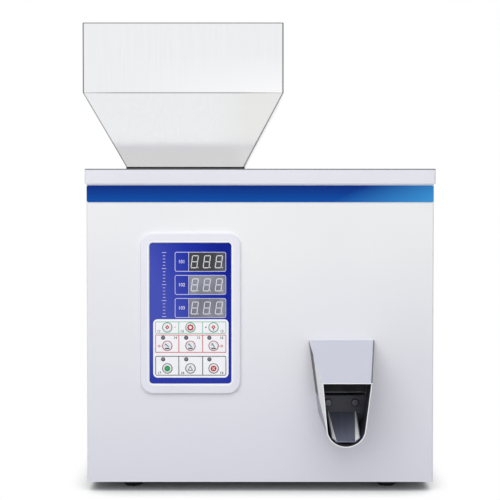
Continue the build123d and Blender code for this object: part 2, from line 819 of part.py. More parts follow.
def weigh_bucket():
    """Tapered weighing bucket, open at both ends, with the hinge ears of its flap."""
    body = bucket_form(bucket_bottom, bucket_top, 0)
    wall = bucket_y + bucket_low_depth / 2
    for side in (-1, 1):
        x = bucket_x + side * (bucket_low_width / 2 - 2.0)
        ear = polygon([(wall + 1.0, bucket_bottom + 14.0), (wall + 0.2, bucket_bottom), (flap_y - 3.2, flap_z),
                       (flap_y + 3.2, flap_z), (wall + 6.0, bucket_bottom + 14.0)])
        plate = along_x(ear, x - 0.75, x + 0.75)
        plate += rod_x(knuckle_radius + 0.2, flap_y, flap_z, x - 0.75, x + 0.75)
        body += plate
    body -= bucket_form(bucket_bottom - 4.0, bucket_top + 1.0, -bucket_sheet)
    body -= rod_x(pin_radius, flap_y, flap_z, bucket_x - 40.0, bucket_x + 40.0)
    return body


def bucket_flap():
    """Flap under the bucket with its knuckle tube and the lever that the solenoid lifts."""
    half = bucket_low_width / 2 - 4.0
    reach = bucket_y - bucket_low_depth / 2 - 0.5
    top = bucket_bottom - flap_gap
    body = block((bucket_x - bucket_low_width / 2 - 0.5, bucket_x + bucket_low_width / 2 + 0.5),
                 (reach, bucket_y + bucket_low_depth / 2 - 0.2), (top - flap_thickness, top))
    body += block((bucket_x - half, bucket_x + half), (flap_y - knuckle_radius - 1.5, flap_y),
                  (top - flap_thickness, top))
    body += rod_x(knuckle_radius, flap_y, flap_z, bucket_x - half, bucket_x + half)
    arm = Pos(flap_y, flap_z) * Rot(0, 0, -math.degrees(lever_drop)) * Pos(lever_length / 2, 0) * Rectangle(
        lever_length, 4.0)
    body += along_x(arm, bucket_x - lever_thickness / 2, bucket_x + lever_thickness / 2)
    body += rod_x(knuckle_radius, lever_y, lever_z, bucket_x - 4.0, bucket_x + 4.0)
    body -= rod_x(pin_radius + pin_clearance, flap_y, flap_z, bucket_x - 40.0, bucket_x + 40.0)
    return body


def flap_pin():
    half = bucket_low_width / 2 + 1.0
    return rod_x(pin_radius, flap_y, flap_z, bucket_x - half, bucket_x + half)


def weigh_cradle():
    """Ring that the bucket drops into, with a tail bolted to the free end of the load cell."""
    z = (cradle_low, cradle_low + cradle_thickness)
    width, depth = bucket_size(cradle_middle, cradle_border)
    ring = Pos(bucket_x, bucket_y) * RectangleRounded(width, depth, 4.0)
    tail = patch((bucket_x - 12.0, bucket_x + 12.0), (bucket_y, cell_y + cell_section / 2))
    body = along_z(ring + tail, *z)
    body += block(cell_free_end(), (cell_y - cell_section / 2, cell_y + cell_section / 2),
                  (cell_bottom + cell_section, z[0]))
    for x in (bucket_x - 6.0, bucket_x + 4.0):
        body += rod_z(3.4, x, cell_y, z[1], z[1] + 2.4) - rod_z(1.6, x, cell_y, z[1] + 1.0, z[1] + 3.0)
    return body - bucket_form(z[0] - 1.0, z[1] + 1.0, 0.15)


def cell_free_end():
    return (bucket_x - 12.0, bucket_x + 8.5)


def load_cell():
    """Single-point load cell: a square beam with the twin-bore flexure window."""
    right = bucket_x + 8.5
    left = right - cell_length
    half = cell_section / 2
    body = block((left, right), (cell_y - half, cell_y + half), (cell_bottom, cell_bottom + cell_section))
    middle_x = (left + right) / 2
    middle_z = cell_bottom + half
    window = Pos(middle_x - 8.0, middle_z) * Circle(4.6) + Pos(middle_x + 8.0, middle_z) * Circle(4.6)
    window += Pos(middle_x, middle_z) * Rectangle(16.0, 5.0)
    return body - along_y(window, cell_y - cell_section, cell_y + cell_section)


def load_cell_post():
    """Post from the base to the fixed end of the load cell, with a foot and a rib."""
    left = bucket_x + 8.5 - cell_length
    x = (left, left + post_width)
    post = block(x, (cell_y - cell_section / 2, cell_y + cell_section / 2), (base_top, cell_bottom))
    foot_top = base_top + post_foot_thickness
    foot = block((left - post_foot_margin, left + post_width + post_foot_margin),
                 (cell_y - post_foot_reach, cell_y + post_foot_reach), (base_top, foot_top))
    face = cell_y - cell_section / 2
    middle = left + post_width / 2
    side = polygon([(face, foot_top), (cell_y - post_foot_reach, foot_top), (face, foot_top + post_rib_height)])
    rib = along_x(side, middle - post_rib_thickness / 2, middle + post_rib_thickness / 2)
    return post + foot + rib


def solenoid_span():
    return (bucket_x - solenoid_width / 2, bucket_x + solenoid_width / 2)


def solenoid_depth():
    return (plunger_y - solenoid_width / 2, plunger_y + solenoid_width / 2)


def solenoid_body():
    """Open-frame solenoid: steel yoke around a wound bobbin, bored for the plunger."""
    x, y = solenoid_span(), solenoid_depth()
    z = (solenoid_top - solenoid_height, solenoid_top)
    yoke = block(x, y, z) - block((x[0] + 2.0, x[1] - 2.0), (y[0] - 1, y[1] + 1), (z[0] + 2.5, z[1] - 2.5))
    coil = rod_z(solenoid_width / 2 - 2.4, bucket_x, plunger_y, z[0] + 2.5, z[1] - 2.5)
    body = yoke + coil
    return body - rod_z(plunger_radius + plunger_clearance, bucket_x, plunger_y, z[0] + 6.0, z[1] + 1)


def solenoid_plunger():
    """Plunger with a collar above the yoke and a thinner rod that lifts the flap's lever."""
    low = solenoid_top - solenoid_height + 8.0
    collar = solenoid_top + 1.0
    body = rod_z(plunger_radius, bucket_x, plunger_y, low, collar)
    body += rod_z(plunger_radius + 2.0, bucket_x, plunger_y, collar, collar + collar_thickness)
    return body + rod_z(plunger_tip_radius, bucket_x, plunger_y, collar, plunger_top)


def solenoid_bracket():
    """Folded bracket that holds the solenoid above the base."""
    x, y = solenoid_span(), solenoid_depth()
    x = (x[0] - 4.0, x[1] + 4.0)
    wall = block(x, (y[1], y[1] + 2.0), (base_top, solenoid_top))
    foot = block(x, (y[1] - 26.0, y[1] + 2.0), (base_top, base_top + 2.0))
    body = wall + foot
    for edge in ((x[0], x[0] + 2.0), (x[1] - 2.0, x[1])):
        web = polygon([(y[1], base_top), (y[1] - 26.0, base_top), (y[1], base_top + 60.0)])
        body += along_x(web, *edge)
    return body


# Chute and spout
def chute_profile(grow):
    """Side view of the chute, in (Y, Z): rim under the bucket, sloping floor, window at the front."""
    wall = front + sheet
    rear = bucket_y + bucket_low_depth / 2 + 13.0 + grow
    ahead = bucket_y - bucket_low_depth / 2 - 17.0 - grow
    rim = chute_rim + (1.0 if not grow else 0.0)
    drop = 0.0 if grow else 0.0
    return polygon([(wall, window_bottom - grow), (rear, chute_rim - 8.0 - grow), (rear, rim),
                    (ahead, rim), (wall, window_top + grow - drop)])


def inner_chute():
    """Folded chute from under the bucket to the window of the front, with a riveted flange."""
    outer = chute_half + spout_sheet
    body = along_x(chute_profile(spout_sheet), bucket_x - outer, bucket_x + outer)
    wall = front + sheet
    flange = patch((bucket_x - outer - 9.0, bucket_x + outer + 9.0), (window_bottom + 4.0, window_top + 10.0))
    body += along_y(flange, wall, wall + spout_sheet)
    inside = chute_profile(0)
    body -= along_x(inside, bucket_x - chute_half, bucket_x + chute_half)
    opening = patch((bucket_x - chute_half, bucket_x + chute_half), (window_bottom, window_top))
    body -= along_y(opening, wall - 1, wall + 3 * spout_sheet)
    for x in (bucket_x - outer - 5.0, bucket_x + outer + 5.0):
        for z in (window_bottom + 12.0, window_top):
            body += rod_y(2.2, x, z, wall + spout_sheet, wall + spout_sheet + 1.0)
    return body


def trough(half_top, top, radius, centre_z, inset=0.0):
    """U outline in (X, Z): a flat top, straight leaning sides and a round bottom."""
    half_top, top, radius = half_top - inset, top - inset, radius - inset
    rise = top - centre_z
    reach = math.hypot(half_top, rise)
    angle = math.atan2(rise, half_top) - math.acos(radius / reach)
    touch = (radius * math.cos(angle), centre_z + radius * math.sin(angle))
    left_touch = (-touch[0], touch[1])
    outline = Curve() + [Line((-half_top, top), (half_top, top)), Line((half_top, top), touch),
                         ThreePointArc(touch, (0, centre_z - radius), left_touch),
                         Line(left_touch, (-half_top, top))]
    return Pos(bucket_x, 0) * make_face(outline)


def spout_window():
    """Window of the front, with its lower sides kept inside the spout's leaning walls."""
    lean = (spout_top_half - spout_round) / (spout_top - spout_round_z)
    low_half = spout_round + lean * (window_bottom - spout_round_z) - 2 * spout_sheet
    half = window_width / 2
    shoulder = min(window_bottom + (half - low_half) / lean, window_top - spout_sheet)
    outline = [(-low_half, window_bottom), (low_half, window_bottom), (half, shoulder),
               (half, window_top), (-half, window_top), (-half, shoulder)]
    return Pos(bucket_x, 0) * polygon(outline)


def front_plane(y):
    return Plane(origin=(0, y, 0), x_dir=(1, 0, 0), z_dir=(0, -1, 0))


def spout_form(inset, extra):
    """Loft from the case's front to the mouth. extra runs it past both ends."""
    slope = 1.0 / spout_reach
    sections = []
    for y, share in ((front + extra, -extra * slope), (front - spout_reach - extra, 1 + extra * slope)):
        mix = [a + (b - a) * share for a, b in (
            (spout_top_half, mouth_top_half), (spout_top, mouth_top),
            (spout_round, mouth_round), (spout_round_z, mouth_round_z))]
        sections.append(front_plane(y) * trough(*mix, inset))
    return loft(sections, ruled=True)


def mouth_cutter(back=0.0):
    """Everything in front of the leaning mouth."""
    low_z = mouth_round_z - mouth_round
    height = mouth_top - low_z
    tip_y = front - spout_reach + back
    side = polygon([(tip_y, mouth_top), (tip_y + mouth_lean, low_z), (tip_y + 2 * mouth_lean, low_z - height),
                    (tip_y - 60.0, low_z - height), (tip_y - 60.0, mouth_top + height),
                    (tip_y, mouth_top + height)])
    return along_x(side, bucket_x - 80.0, bucket_x + 80.0)


def spout_shell():
    """Stainless spout: sloping cover, leaning sides and round belly, welded to a back plate."""
    body = spout_form(0, 0) - spout_form(spout_sheet, 2.0)
    body -= mouth_cutter()
    plate = trough(spout_top_half, spout_top, spout_round, spout_round_z, spout_sheet / 2)
    body += along_y(plate, front - spout_sheet, front)
    body -= along_y(spout_window(), front - 3 * spout_sheet, front + 1)
    for x, z in spout_screw_places():
        body -= rod_y(screw_shank_radius, x, z, front - 3 * spout_sheet, front + 1)
    return body


def tongue_section(half, floor_z, wing, y):
    """Folded channel: flat floor and two leaning wings."""
    t = spout_sheet * 0.8
    rise = wing * 0.95
    outline = polygon([(-half - wing, floor_z + rise), (-half - wing + 1.3 * t, floor_z + rise),
                       (-half + 0.5 * t, floor_z + t), (half - 0.5 * t, floor_z + t),
                       (half + wing - 1.3 * t, floor_z + rise), (half + wing, floor_z + rise),
                       (half, floor_z), (-half, floor_z)])
    return front_plane(y) * (Pos(bucket_x, 0) * outline)


def spout_tongue():
    """Folded tongue that carries the powder to the tip, with an upright tab under the window."""
    back = front - 2 * spout_sheet
    tip = front - spout_reach + mouth_lean + 1.5
    body = loft([tongue_section(tongue_half, tongue_start, tongue_wing, back),
                 tongue_section(tongue_end_half, tongue_end, tongue_end_wing, tip)], ruled=True)
    tab = patch((bucket_x - tongue_half - 5.0, bucket_x + tongue_half + 5.0),
                (tongue_start, window_bottom - 0.5))
    body += along_y(tab, back, front - spout_sheet)
    for x, z in spout_screw_places():
        body -= rod_y(screw_shank_radius, x, z, back - 1, front + 1)
    return body


# Control panel
def panel_housing():
    """Moulded bezel with a floor for the overlay and a skirt through the case's front."""
    centre = Pos(panel_x, panel_z)
    flange = centre * RectangleRounded(panel_width, panel_height, panel_corner)
    flange = along_y(flange, front - panel_proud, front)
    flange = fillet(flange.faces().sort_by(Axis.Y)[0].edges(), 1.4)
    skirt = Rectangle(overlay_width + 3.2, overlay_height + 3.2)
    body = flange + along_y(centre * skirt, front - 1, board_front)
    hollow = Rectangle(overlay_width + 3.2 - 2 * housing_wall, overlay_height + 3.2 - 2 * housing_wall)
    body -= along_y(centre * hollow, floor_back, board_front + 1)
    recess_size = (overlay_width + 2 * fit_gap, overlay_height + 2 * fit_gap)
    recess = RectangleRounded(*recess_size, overlay_corner + fit_gap)
    body -= along_y(centre * recess, front - 2 * panel_proud, overlay_back)
    rim = body.faces().sort_by(Axis.Y)[0].inner_wires()[0].edges()
    body = chamfer(rim, 0.7)
    return body - along_y(panel_holes(0.2), overlay_back - 1, floor_back + 1)


def panel_holes(grow):
    """Openings for the displays, keys and lamps."""
    holes = []
    for row in range(3):
        size = (display_width + 2 * fit_gap + grow, display_height + 2 * fit_gap + grow)
        holes.append(Pos(display_x, display_top_z - row * display_pitch) * Rectangle(*size))
    for x, z in key_places().values():
        holes.append(Pos(x, z) * Circle(key_radius + fit_gap + grow))
    for x, z in led_places():
        holes.append(Pos(x, z) * Circle(led_radius + fit_gap + grow))
    return Sketch() + holes


def keypad_overlay():
    """Printed film over the panel's floor."""
    film = Pos(panel_x, panel_z) * RectangleRounded(overlay_width, overlay_height, overlay_corner)
    return along_y(film - panel_holes(0), overlay_front, overlay_back)


def display_modules():
    """Three three-digit display blocks, soldered to the board."""
    blocks = []
    for row in range(3):
        outline = Rectangle(display_width, display_height)
        outline = Pos(display_x, display_top_z - row * display_pitch) * outline
        blocks.append(along_y(outline, overlay_front + 0.1, board_front))
    return blocks


def key_places():
    names = (("key_minus", "key_set", "key_plus"), ("key_fast", "key_medium", "key_slow"),
             ("key_start", "key_empty", "key_stop"))
    return {name: (key_columns[c], key_rows[r]) for r, row in enumerate(names) for c, name in enumerate(row)}


def led_places():
    return [(x + led_shift, z) for z in led_rows for x in key_columns]


def panel_key(x, z):
    """Key cap with the stem and plunger that work its switch."""
    cap = rod_y(key_radius, x, z, overlay_front - 0.7, overlay_back + 0.2)
    cap = fillet(cap.edges().sort_by(Axis.Y)[:1], 0.5)
    stem = rod_y(key_stem_radius, x, z, overlay_back, switch_front - fit_gap - key_travel)
    tip = rod_y(key_tip_radius, x, z, overlay_back, switch_front + 0.6)
    return cap + stem + tip


def indicator_leds():
    lamps = []
    for x, z in led_places():
        lamp = rod_y(led_radius, x, z, overlay_front - 0.5, board_front)
        lamps.append(fillet(lamp.edges().sort_by(Axis.Y)[:1], 0.9))
    return lamps


def control_board():
    """Circuit board on the housing's skirt, with nine key switches and a few parts behind."""
    outline = Pos(panel_x, panel_z) * Rectangle(overlay_width + 3.2, overlay_height + 3.2)
    body = along_y(outline, board_front, board_back)
    for x, z in key_places().values():
        switch = Pos(x, z) * Rectangle(switch_size, switch_size)
        body += along_y(switch, switch_front, board_front)
        body -= rod_y(key_tip_radius + fit_gap, x, z, switch_front - 1, switch_front + 2.4)
    for x, z, w, h, tall in ((-18.0, 40.0, 22.0, 9.0, 2.4), (14.0, 36.0, 12.0, 12.0, 3.0),
                             (-20.0, -20.0, 30.0, 8.0, 9.0), (18.0, -30.0, 20.0, 14.0, 6.0)):
        part = Pos(panel_x + x, panel_z + z) * Rectangle(w, h)
        body += along_y(part, board_back, board_back + tall)
    return body


# Rear fittings and supply
def power_inlet():
    """Three-pin appliance inlet with its flange and two flush screws."""
    centre = Pos(inlet_x, rear_fitting_z)
    face = half_d + inlet_flange_thickness
    flange = centre * RectangleRounded(inlet_flange_width, inlet_flange_height, inlet_flange_bend)
    body = along_y(flange, half_d, face)
    shell = centre * RectangleRounded(inlet_width, inlet_height, inlet_bend)
    body += along_y(shell, half_d - inlet_length, face)
    half, rise, corner = inlet_mouth_half, inlet_mouth_rise, inlet_mouth_corner
    mouth = centre * polygon([(-half, -rise), (half, -rise), (half, rise - corner), (half - corner, rise),
                              (corner - half, rise), (-half, rise - corner)])
    floor = half_d - inlet_mouth_depth
    body -= along_y(mouth, floor, face + 1)
    for x, z in ((-7.0, -2.0), (7.0, -2.0), (0.0, 2.0)):
        blade = centre * Pos(x, z) * Rectangle(inlet_blade_width, inlet_blade_height)
        body += along_y(blade, floor - 0.5, half_d)
    for side in (-1, 1):
        x = inlet_x + side * (inlet_flange_width / 2 - inlet_screw_inset)
        body -= rod_y(inlet_screw_radius, x, rear_fitting_z, face - 1.2, face + 1)
    return body


def rocker_body():
    """Frame of the power switch, open for the rocker."""
    centre = Pos(rocker_x, rear_fitting_z)
    body = along_y(centre * RectangleRounded(21.6, 15.6, 1.0), half_d, half_d + 2.0)
    body += along_y(centre * Rectangle(19.0, 13.0), half_d - 16.0, half_d + 2.0)
    body -= along_y(centre * Rectangle(16.4, 2 * (rocker_half_height + fit_gap)), half_d - 9.0, half_d + 3.0)
    reach = rocker_half_height + rocker_pin_reach + fit_gap
    socket = rocker_pin_radius + rocker_pin_clearance
    return body - rod_z(socket, rocker_x, rocker_pivot_y(), rear_fitting_z - reach, rear_fitting_z + reach)


def rocker_key():
    """The rocker, at rest with its left end pressed in."""
    side = Plane.XY * make_face(Curve() + [
        Line((-7.3, 3.8), (-6.9, 0)), ThreePointArc((-6.9, 0), (0, -3.2), (6.9, 0)),
        Line((6.9, 0), (7.3, 3.8)), ThreePointArc((7.3, 3.8), (0, 2.7), (-7.3, 3.8))])
    solid = extrude(side, amount=rocker_half_height, both=True)
    reach = rocker_half_height + rocker_pin_reach
    solid += rod_z(rocker_pin_radius, 0, 0, -reach, reach)
    tilt = Rot(0, 0, rocker_swing / 2)
    return Pos(rocker_x, rocker_pivot_y(), rear_fitting_z) * tilt * solid


def rocker_pivot_y():
    return half_d - rocker_depth


def fuse_holder():
    """Round fuse holder body behind the rear panel, with its collar."""
    back = half_d - fuse_length
    body = rod_y(fuse_radius - 1.4, fuse_x, rear_fitting_z, back, half_d)
    body += rod_y(fuse_radius + 1.0, fuse_x, rear_fitting_z, half_d, half_d + 2.0)
    return body - rod_y(3.4, fuse_x, rear_fitting_z, back + fuse_floor, half_d + 3.0)


def fuse_cap():
    """Bayonet cap of the fuse holder, with a screwdriver slot."""
    start = half_d + 2.0
    body = rod_y(fuse_radius, fuse_x, rear_fitting_z, start, half_d + fuse_reach)
    for turn in range(24):
        groove = Rot(0, 0, turn * 15.0) * Pos(fuse_radius + 0.15, 0) * Circle(0.5)
        body -= along_y(Pos(fuse_x, rear_fitting_z) * groove, start, half_d + fuse_reach - 1.5)
    body += rod_y(3.3, fuse_x, rear_fitting_z, half_d - 20.0, start)
    slot = Pos(fuse_x, rear_fitting_z) * Rectangle(9.0, 1.4)
    return body - along_y(slot, half_d + fuse_reach - 1.6, half_d + fuse_reach + 1)


def pedal_jack():
    """Socket for the foot pedal: threaded barrel, hexagon nut and plain bore."""
    body = rod_y(jack_nut - 1.5, jack_x, rear_fitting_z, half_d - jack_length + 3.0, half_d + 3.0)
    body += rod_y(jack_nut + 2.0, jack_x, rear_fitting_z, half_d - jack_length + 3.0, inner_d)
    nut = Pos(jack_x, rear_fitting_z) * RegularPolygon(jack_nut, 6, major_radius=False)
    body += along_y(nut, half_d, half_d + 2.4)
    return body - rod_y(jack_bore, jack_x, rear_fitting_z, half_d - jack_length + 5.0, half_d + 4.0)


def power_supply():
    """Enclosed supply on the base pan under the stand: perforated cover over a folded chassis."""
    left = vibrator_rear - stand_behind + supply_inset
    x = (left, left + supply_length)
    y = (vibrator_y - supply_width / 2, vibrator_y + supply_width / 2)
    z = (base_top, base_top + supply_height)
    body = fillet(block(x, y, z).edges().filter_by(Axis.X), 1.0)
    for step in range(supply_slots):
        across = x[0] + supply_slot_pitch * (step + 2.3)
        slot = Pos(across, vibrator_y) * Rot(0, 0, 90) * SlotOverall(supply_slot_length, supply_slot_width)
        body -= along_z(slot, z[1] - 3.0, z[1] + 1)
    ledge = block((x[1] - terminal_depth, x[1] + 1), (y[0] + 3.0, y[1] - 3.0),
                  (z[0] + terminal_height, z[1] + 1))
    return body - ledge


def to_row(shape):
    """Moves a piece, or a list of pieces, into the frame of the whole machine."""
    pieces = shape if isinstance(shape, list) else [shape]
    moved = [Pos(x_shift, y_shift, 0) * solid for piece in pieces for solid in piece.solids()]
    return Compound(children=moved) if len(moved) > 1 else moved[0]


def nodes():
    made = {
        "case_wrap": case_wrap(), "base_pan": base_pan(), "rear_panel": rear_panel(), "lid": lid(),
        "front_strip": front_strip(), "rubber_feet": rubber_feet(), "case_fasteners": case_fasteners(),
        "side_door": side_door(), "door_hinges": door_hinges(), "hinge_door_leaves": hinge_door_leaves(),
        "door_knob": door_knob(), "door_magnet": door_magnet(),
        "hopper": hopper(), "hopper_gasket": hopper_gasket(), "flow_gate": flow_gate(), "gate_nuts": gate_nuts(),
        "feed_tray": feed_tray(), "tray_block": tray_block(), "armature_plate": armature_plate(),
        "leaf_springs": leaf_springs(), "vibrator_base": vibrator_base(),
        "upper_clamps": clamp_bars(tray_block_low + 4.0, tray_block_high - 4.0),
        "lower_clamps": clamp_bars(block_low + 4.0, block_high - 4.0),
        "magnet_core": magnet_core(), "magnet_coil": magnet_coil(), "rubber_mounts": rubber_mounts(),
        "vibrator_stand": vibrator_stand(),
        "weigh_bucket": weigh_bucket(), "bucket_flap": bucket_flap(), "flap_pin": flap_pin(),
        "weigh_cradle": weigh_cradle(), "load_cell": load_cell(), "load_cell_post": load_cell_post(),
        "solenoid_body": solenoid_body(), "solenoid_plunger": solenoid_plunger(),
        "solenoid_bracket": solenoid_bracket(),
        "inner_chute": inner_chute(), "spout_shell": spout_shell(), "spout_tongue": spout_tongue(),
        "panel_housing": panel_housing(), "keypad_overlay": keypad_overlay(),
        "display_modules": display_modules(), "indicator_leds": indicator_leds(),
        "control_board": control_board(),
        "power_inlet": power_inlet(), "rocker_body": rocker_body(), "rocker_key": rocker_key(),
        "fuse_holder": fuse_holder(), "fuse_cap": fuse_cap(), "pedal_jack": pedal_jack(),
        "power_supply": power_supply(),
    }
    for name, (x, z) in key_places().items():
        made[name] = panel_key(x, z)
    return made


os.makedirs("parts", exist_ok=True)
for name, shape in nodes().items():
    export_step(to_row(shape), f"parts/{name}.step")
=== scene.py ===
import json
import math

import bmesh
import bpy
from mathutils import Matrix, Vector


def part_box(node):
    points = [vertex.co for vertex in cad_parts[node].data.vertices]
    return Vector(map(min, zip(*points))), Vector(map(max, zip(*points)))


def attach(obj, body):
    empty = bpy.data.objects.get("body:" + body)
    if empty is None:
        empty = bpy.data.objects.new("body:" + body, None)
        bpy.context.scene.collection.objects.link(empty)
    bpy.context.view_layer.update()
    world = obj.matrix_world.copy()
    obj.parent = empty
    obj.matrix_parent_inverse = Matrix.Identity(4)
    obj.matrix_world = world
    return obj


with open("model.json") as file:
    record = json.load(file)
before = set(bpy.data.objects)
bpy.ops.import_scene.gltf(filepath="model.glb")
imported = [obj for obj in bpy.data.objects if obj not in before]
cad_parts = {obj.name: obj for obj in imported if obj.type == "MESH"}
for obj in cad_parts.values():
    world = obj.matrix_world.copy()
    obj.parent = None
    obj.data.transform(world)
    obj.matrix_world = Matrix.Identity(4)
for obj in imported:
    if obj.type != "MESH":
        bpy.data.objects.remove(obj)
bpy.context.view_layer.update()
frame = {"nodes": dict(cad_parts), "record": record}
nodes = frame["nodes"]
print("packed machine loaded:", len(nodes), "nodes")

# Places that several pieces share, in millimetres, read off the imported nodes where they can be
mm = 0.001
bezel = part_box("panel_housing")
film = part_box("keypad_overlay")
panelX = (bezel[0].x + bezel[1].x) / 2 / mm
panelZ = (bezel[0].z + bezel[1].z) / 2 / mm
filmFront = film[0].y
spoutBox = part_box("spout_shell")
spoutX = (spoutBox[0].x + spoutBox[1].x) / 2
spoutRear = spoutBox[1].y


# Shader wiring
class Wire:
    # one socket of a node, which sums and products can be written with
    def __init__(self, tree, socket=None):
        self.tree = tree
        self.socket = socket

    def node(self, kind, settings=None, values=None, out=0):
        made = self.tree.nodes.new("ShaderNode" + kind)
        for name, value in (settings or {}).items():
            if name == "stops":
                while len(made.color_ramp.elements) < len(value):
                    made.color_ramp.elements.new(1.0)
                for element, (place, colour) in zip(made.color_ramp.elements, value):
                    element.position = place
                    element.color = colour
            else:
                setattr(made, name, value)
        for name, value in (values or {}).items():
            if isinstance(value, Wire):
                self.tree.links.new(value.socket, made.inputs[name])
            else:
                made.inputs[name].default_value = value
        return Wire(self.tree, made.outputs[out]) if len(made.outputs) else None

    def sum(self, operation, first, second):
        return self.node("Math", {"operation": operation}, {0: first, 1: second})

    def __add__(self, other):
        return self.sum("ADD", self, other)

    def __radd__(self, other):
        return self.sum("ADD", other, self)

    def __sub__(self, other):
        return self.sum("SUBTRACT", self, other)

    def __rsub__(self, other):
        return self.sum("SUBTRACT", other, self)

    def __mul__(self, other):
        return self.sum("MULTIPLY", self, other)

    def __rmul__(self, other):
        return self.sum("MULTIPLY", other, self)

    def __lt__(self, other):
        return self.sum("LESS_THAN", self, other)

    def __gt__(self, other):
        return self.sum("GREATER_THAN", self, other)


def paint(name):
    material = bpy.data.materials.new(name)
    material.use_nodes = True
    material.node_tree.nodes.clear()
    return material, Wire(material.node_tree)


def place(start, scale=(1, 1, 1)):
    # object coordinates in metres, stretched for streaks
    where = start.node("TexCoord", out=3)
    if scale == (1, 1, 1):
        return where
    return start.node("Mapping", {"vector_type": "POINT"}, {"Vector": where, "Scale": scale})


def axis(start, name):
    return start.node("SeparateXYZ", None, {0: place(start)}, out="XYZ".index(name))


def noise(start, scale, detail=2.0, stretch=(1, 1, 1), roughness=0.5):
    values = {"Vector": place(start, stretch), "Scale": scale, "Detail": detail, "Roughness": roughness}
    return start.node("TexNoise", None, values)


def mixed(start, factor, first, second):
    settings = {"data_type": "RGBA", "clamp_factor": True}
    return start.node("Mix", settings, {0: factor, 6: first, 7: second}, out=2)


def ramp(start, factor, stops):
    return start.node("ValToRGB", {"stops": stops}, {0: factor})


def band(start, value, low, high):
    # 0 below low, 1 above high, straight between
    return start.node("MapRange", {"clamp": True}, {0: value, 1: low, 2: high, 3: 0.0, 4: 1.0})


def bump(start, height, strength, distance):
    return start.node("Bump", None, {"Height": height, "Strength": strength, "Distance": distance})


def facing(start, name):
    # one part of the surface's own direction
    return start.node("SeparateXYZ", None, {0: start.node("NewGeometry", out=1)}, out="XYZ".index(name))


def size(start, value):
    return start.node("Math", {"operation": "ABSOLUTE"}, {0: value})


def rgb(red, green, blue):
    return (red, green, blue, 1.0)


def hexColour(code):
    # a screen colour, as read off the photograph, made linear
    parts = [int(code[i:i + 2], 16) / 255 for i in (0, 2, 4)]
    return tuple(p / 12.92 if p <= 0.04045 else ((p + 0.055) / 1.055) ** 2.4 for p in parts) + (1.0,)


def close(start, values):
    # ends a material in one principled shader
    shader = start.node("BsdfPrincipled", None, values)
    start.node("OutputMaterial", None, {"Surface": shader})


def powderCoat(name, light, deep, vary=None):
    coat = {"light": hexColour(light), "deep": hexColour(deep), "peel": 900.0, "cloud": 6.0}
    material, start = paint(name)
    cloud = noise(start, coat["cloud"], 2.0)
    peel = noise(start, coat["peel"], 1.0)
    colour = mixed(start, band(start, cloud, 0.35, 0.65), coat["light"], coat["deep"])
    if vary:
        colour = vary(start, colour)
    close(start, {
        "Base Color": mixed(start, band(start, peel, 0.62, 0.80) * 0.5, colour, coat["deep"]),
        "Roughness": 0.36 + peel * 0.10,
        "Specular IOR Level": 0.4,
        "Normal": bump(start, peel, 0.10, 0.0002),
    })
    return material


def caseCoat(start, colour):
    # painted shade: cooler and darker towards the foot, and dark behind the spout
    case = {"foot": hexColour("E4E4EE"), "patch": hexColour("26262C"), "low": 0.02, "high": 0.27,
            "round": 0.0205, "roundZ": 0.0852, "top": 0.128}
    level = axis(start, "Z")
    # painted shade: the coat darkens towards the foot, where less light falls
    colour = mixed(start, band(start, level, case["high"], case["low"]), colour, case["foot"])
    # painted shade: the case front behind the spout, inside its footprint, is painted nearly black
    below = start.sum("MINIMUM", level - case["roundZ"], 0.0)
    away = start.node("CombineXYZ", None, {0: axis(start, "X") - spoutX, 2: below})
    within = start.node("VectorMath", {"operation": "LENGTH"}, {0: away}, out=1) < case["round"]
    front = (axis(start, "Y") < spoutRear + 0.002) * (level < case["top"])
    return mixed(start, within * front, colour, case["patch"])


def lidCoat(start, colour):
    # painted shade: a grey line over the upper bend
    lid = {"line": hexColour("34343C"), "width": 1.1 * mm, "top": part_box("lid")[1].z}
    bend = (axis(start, "Z") > lid["top"] - lid["width"]) * (facing(start, "Z") < 0.995)
    return mixed(start, bend * 0.85, colour, lid["line"])


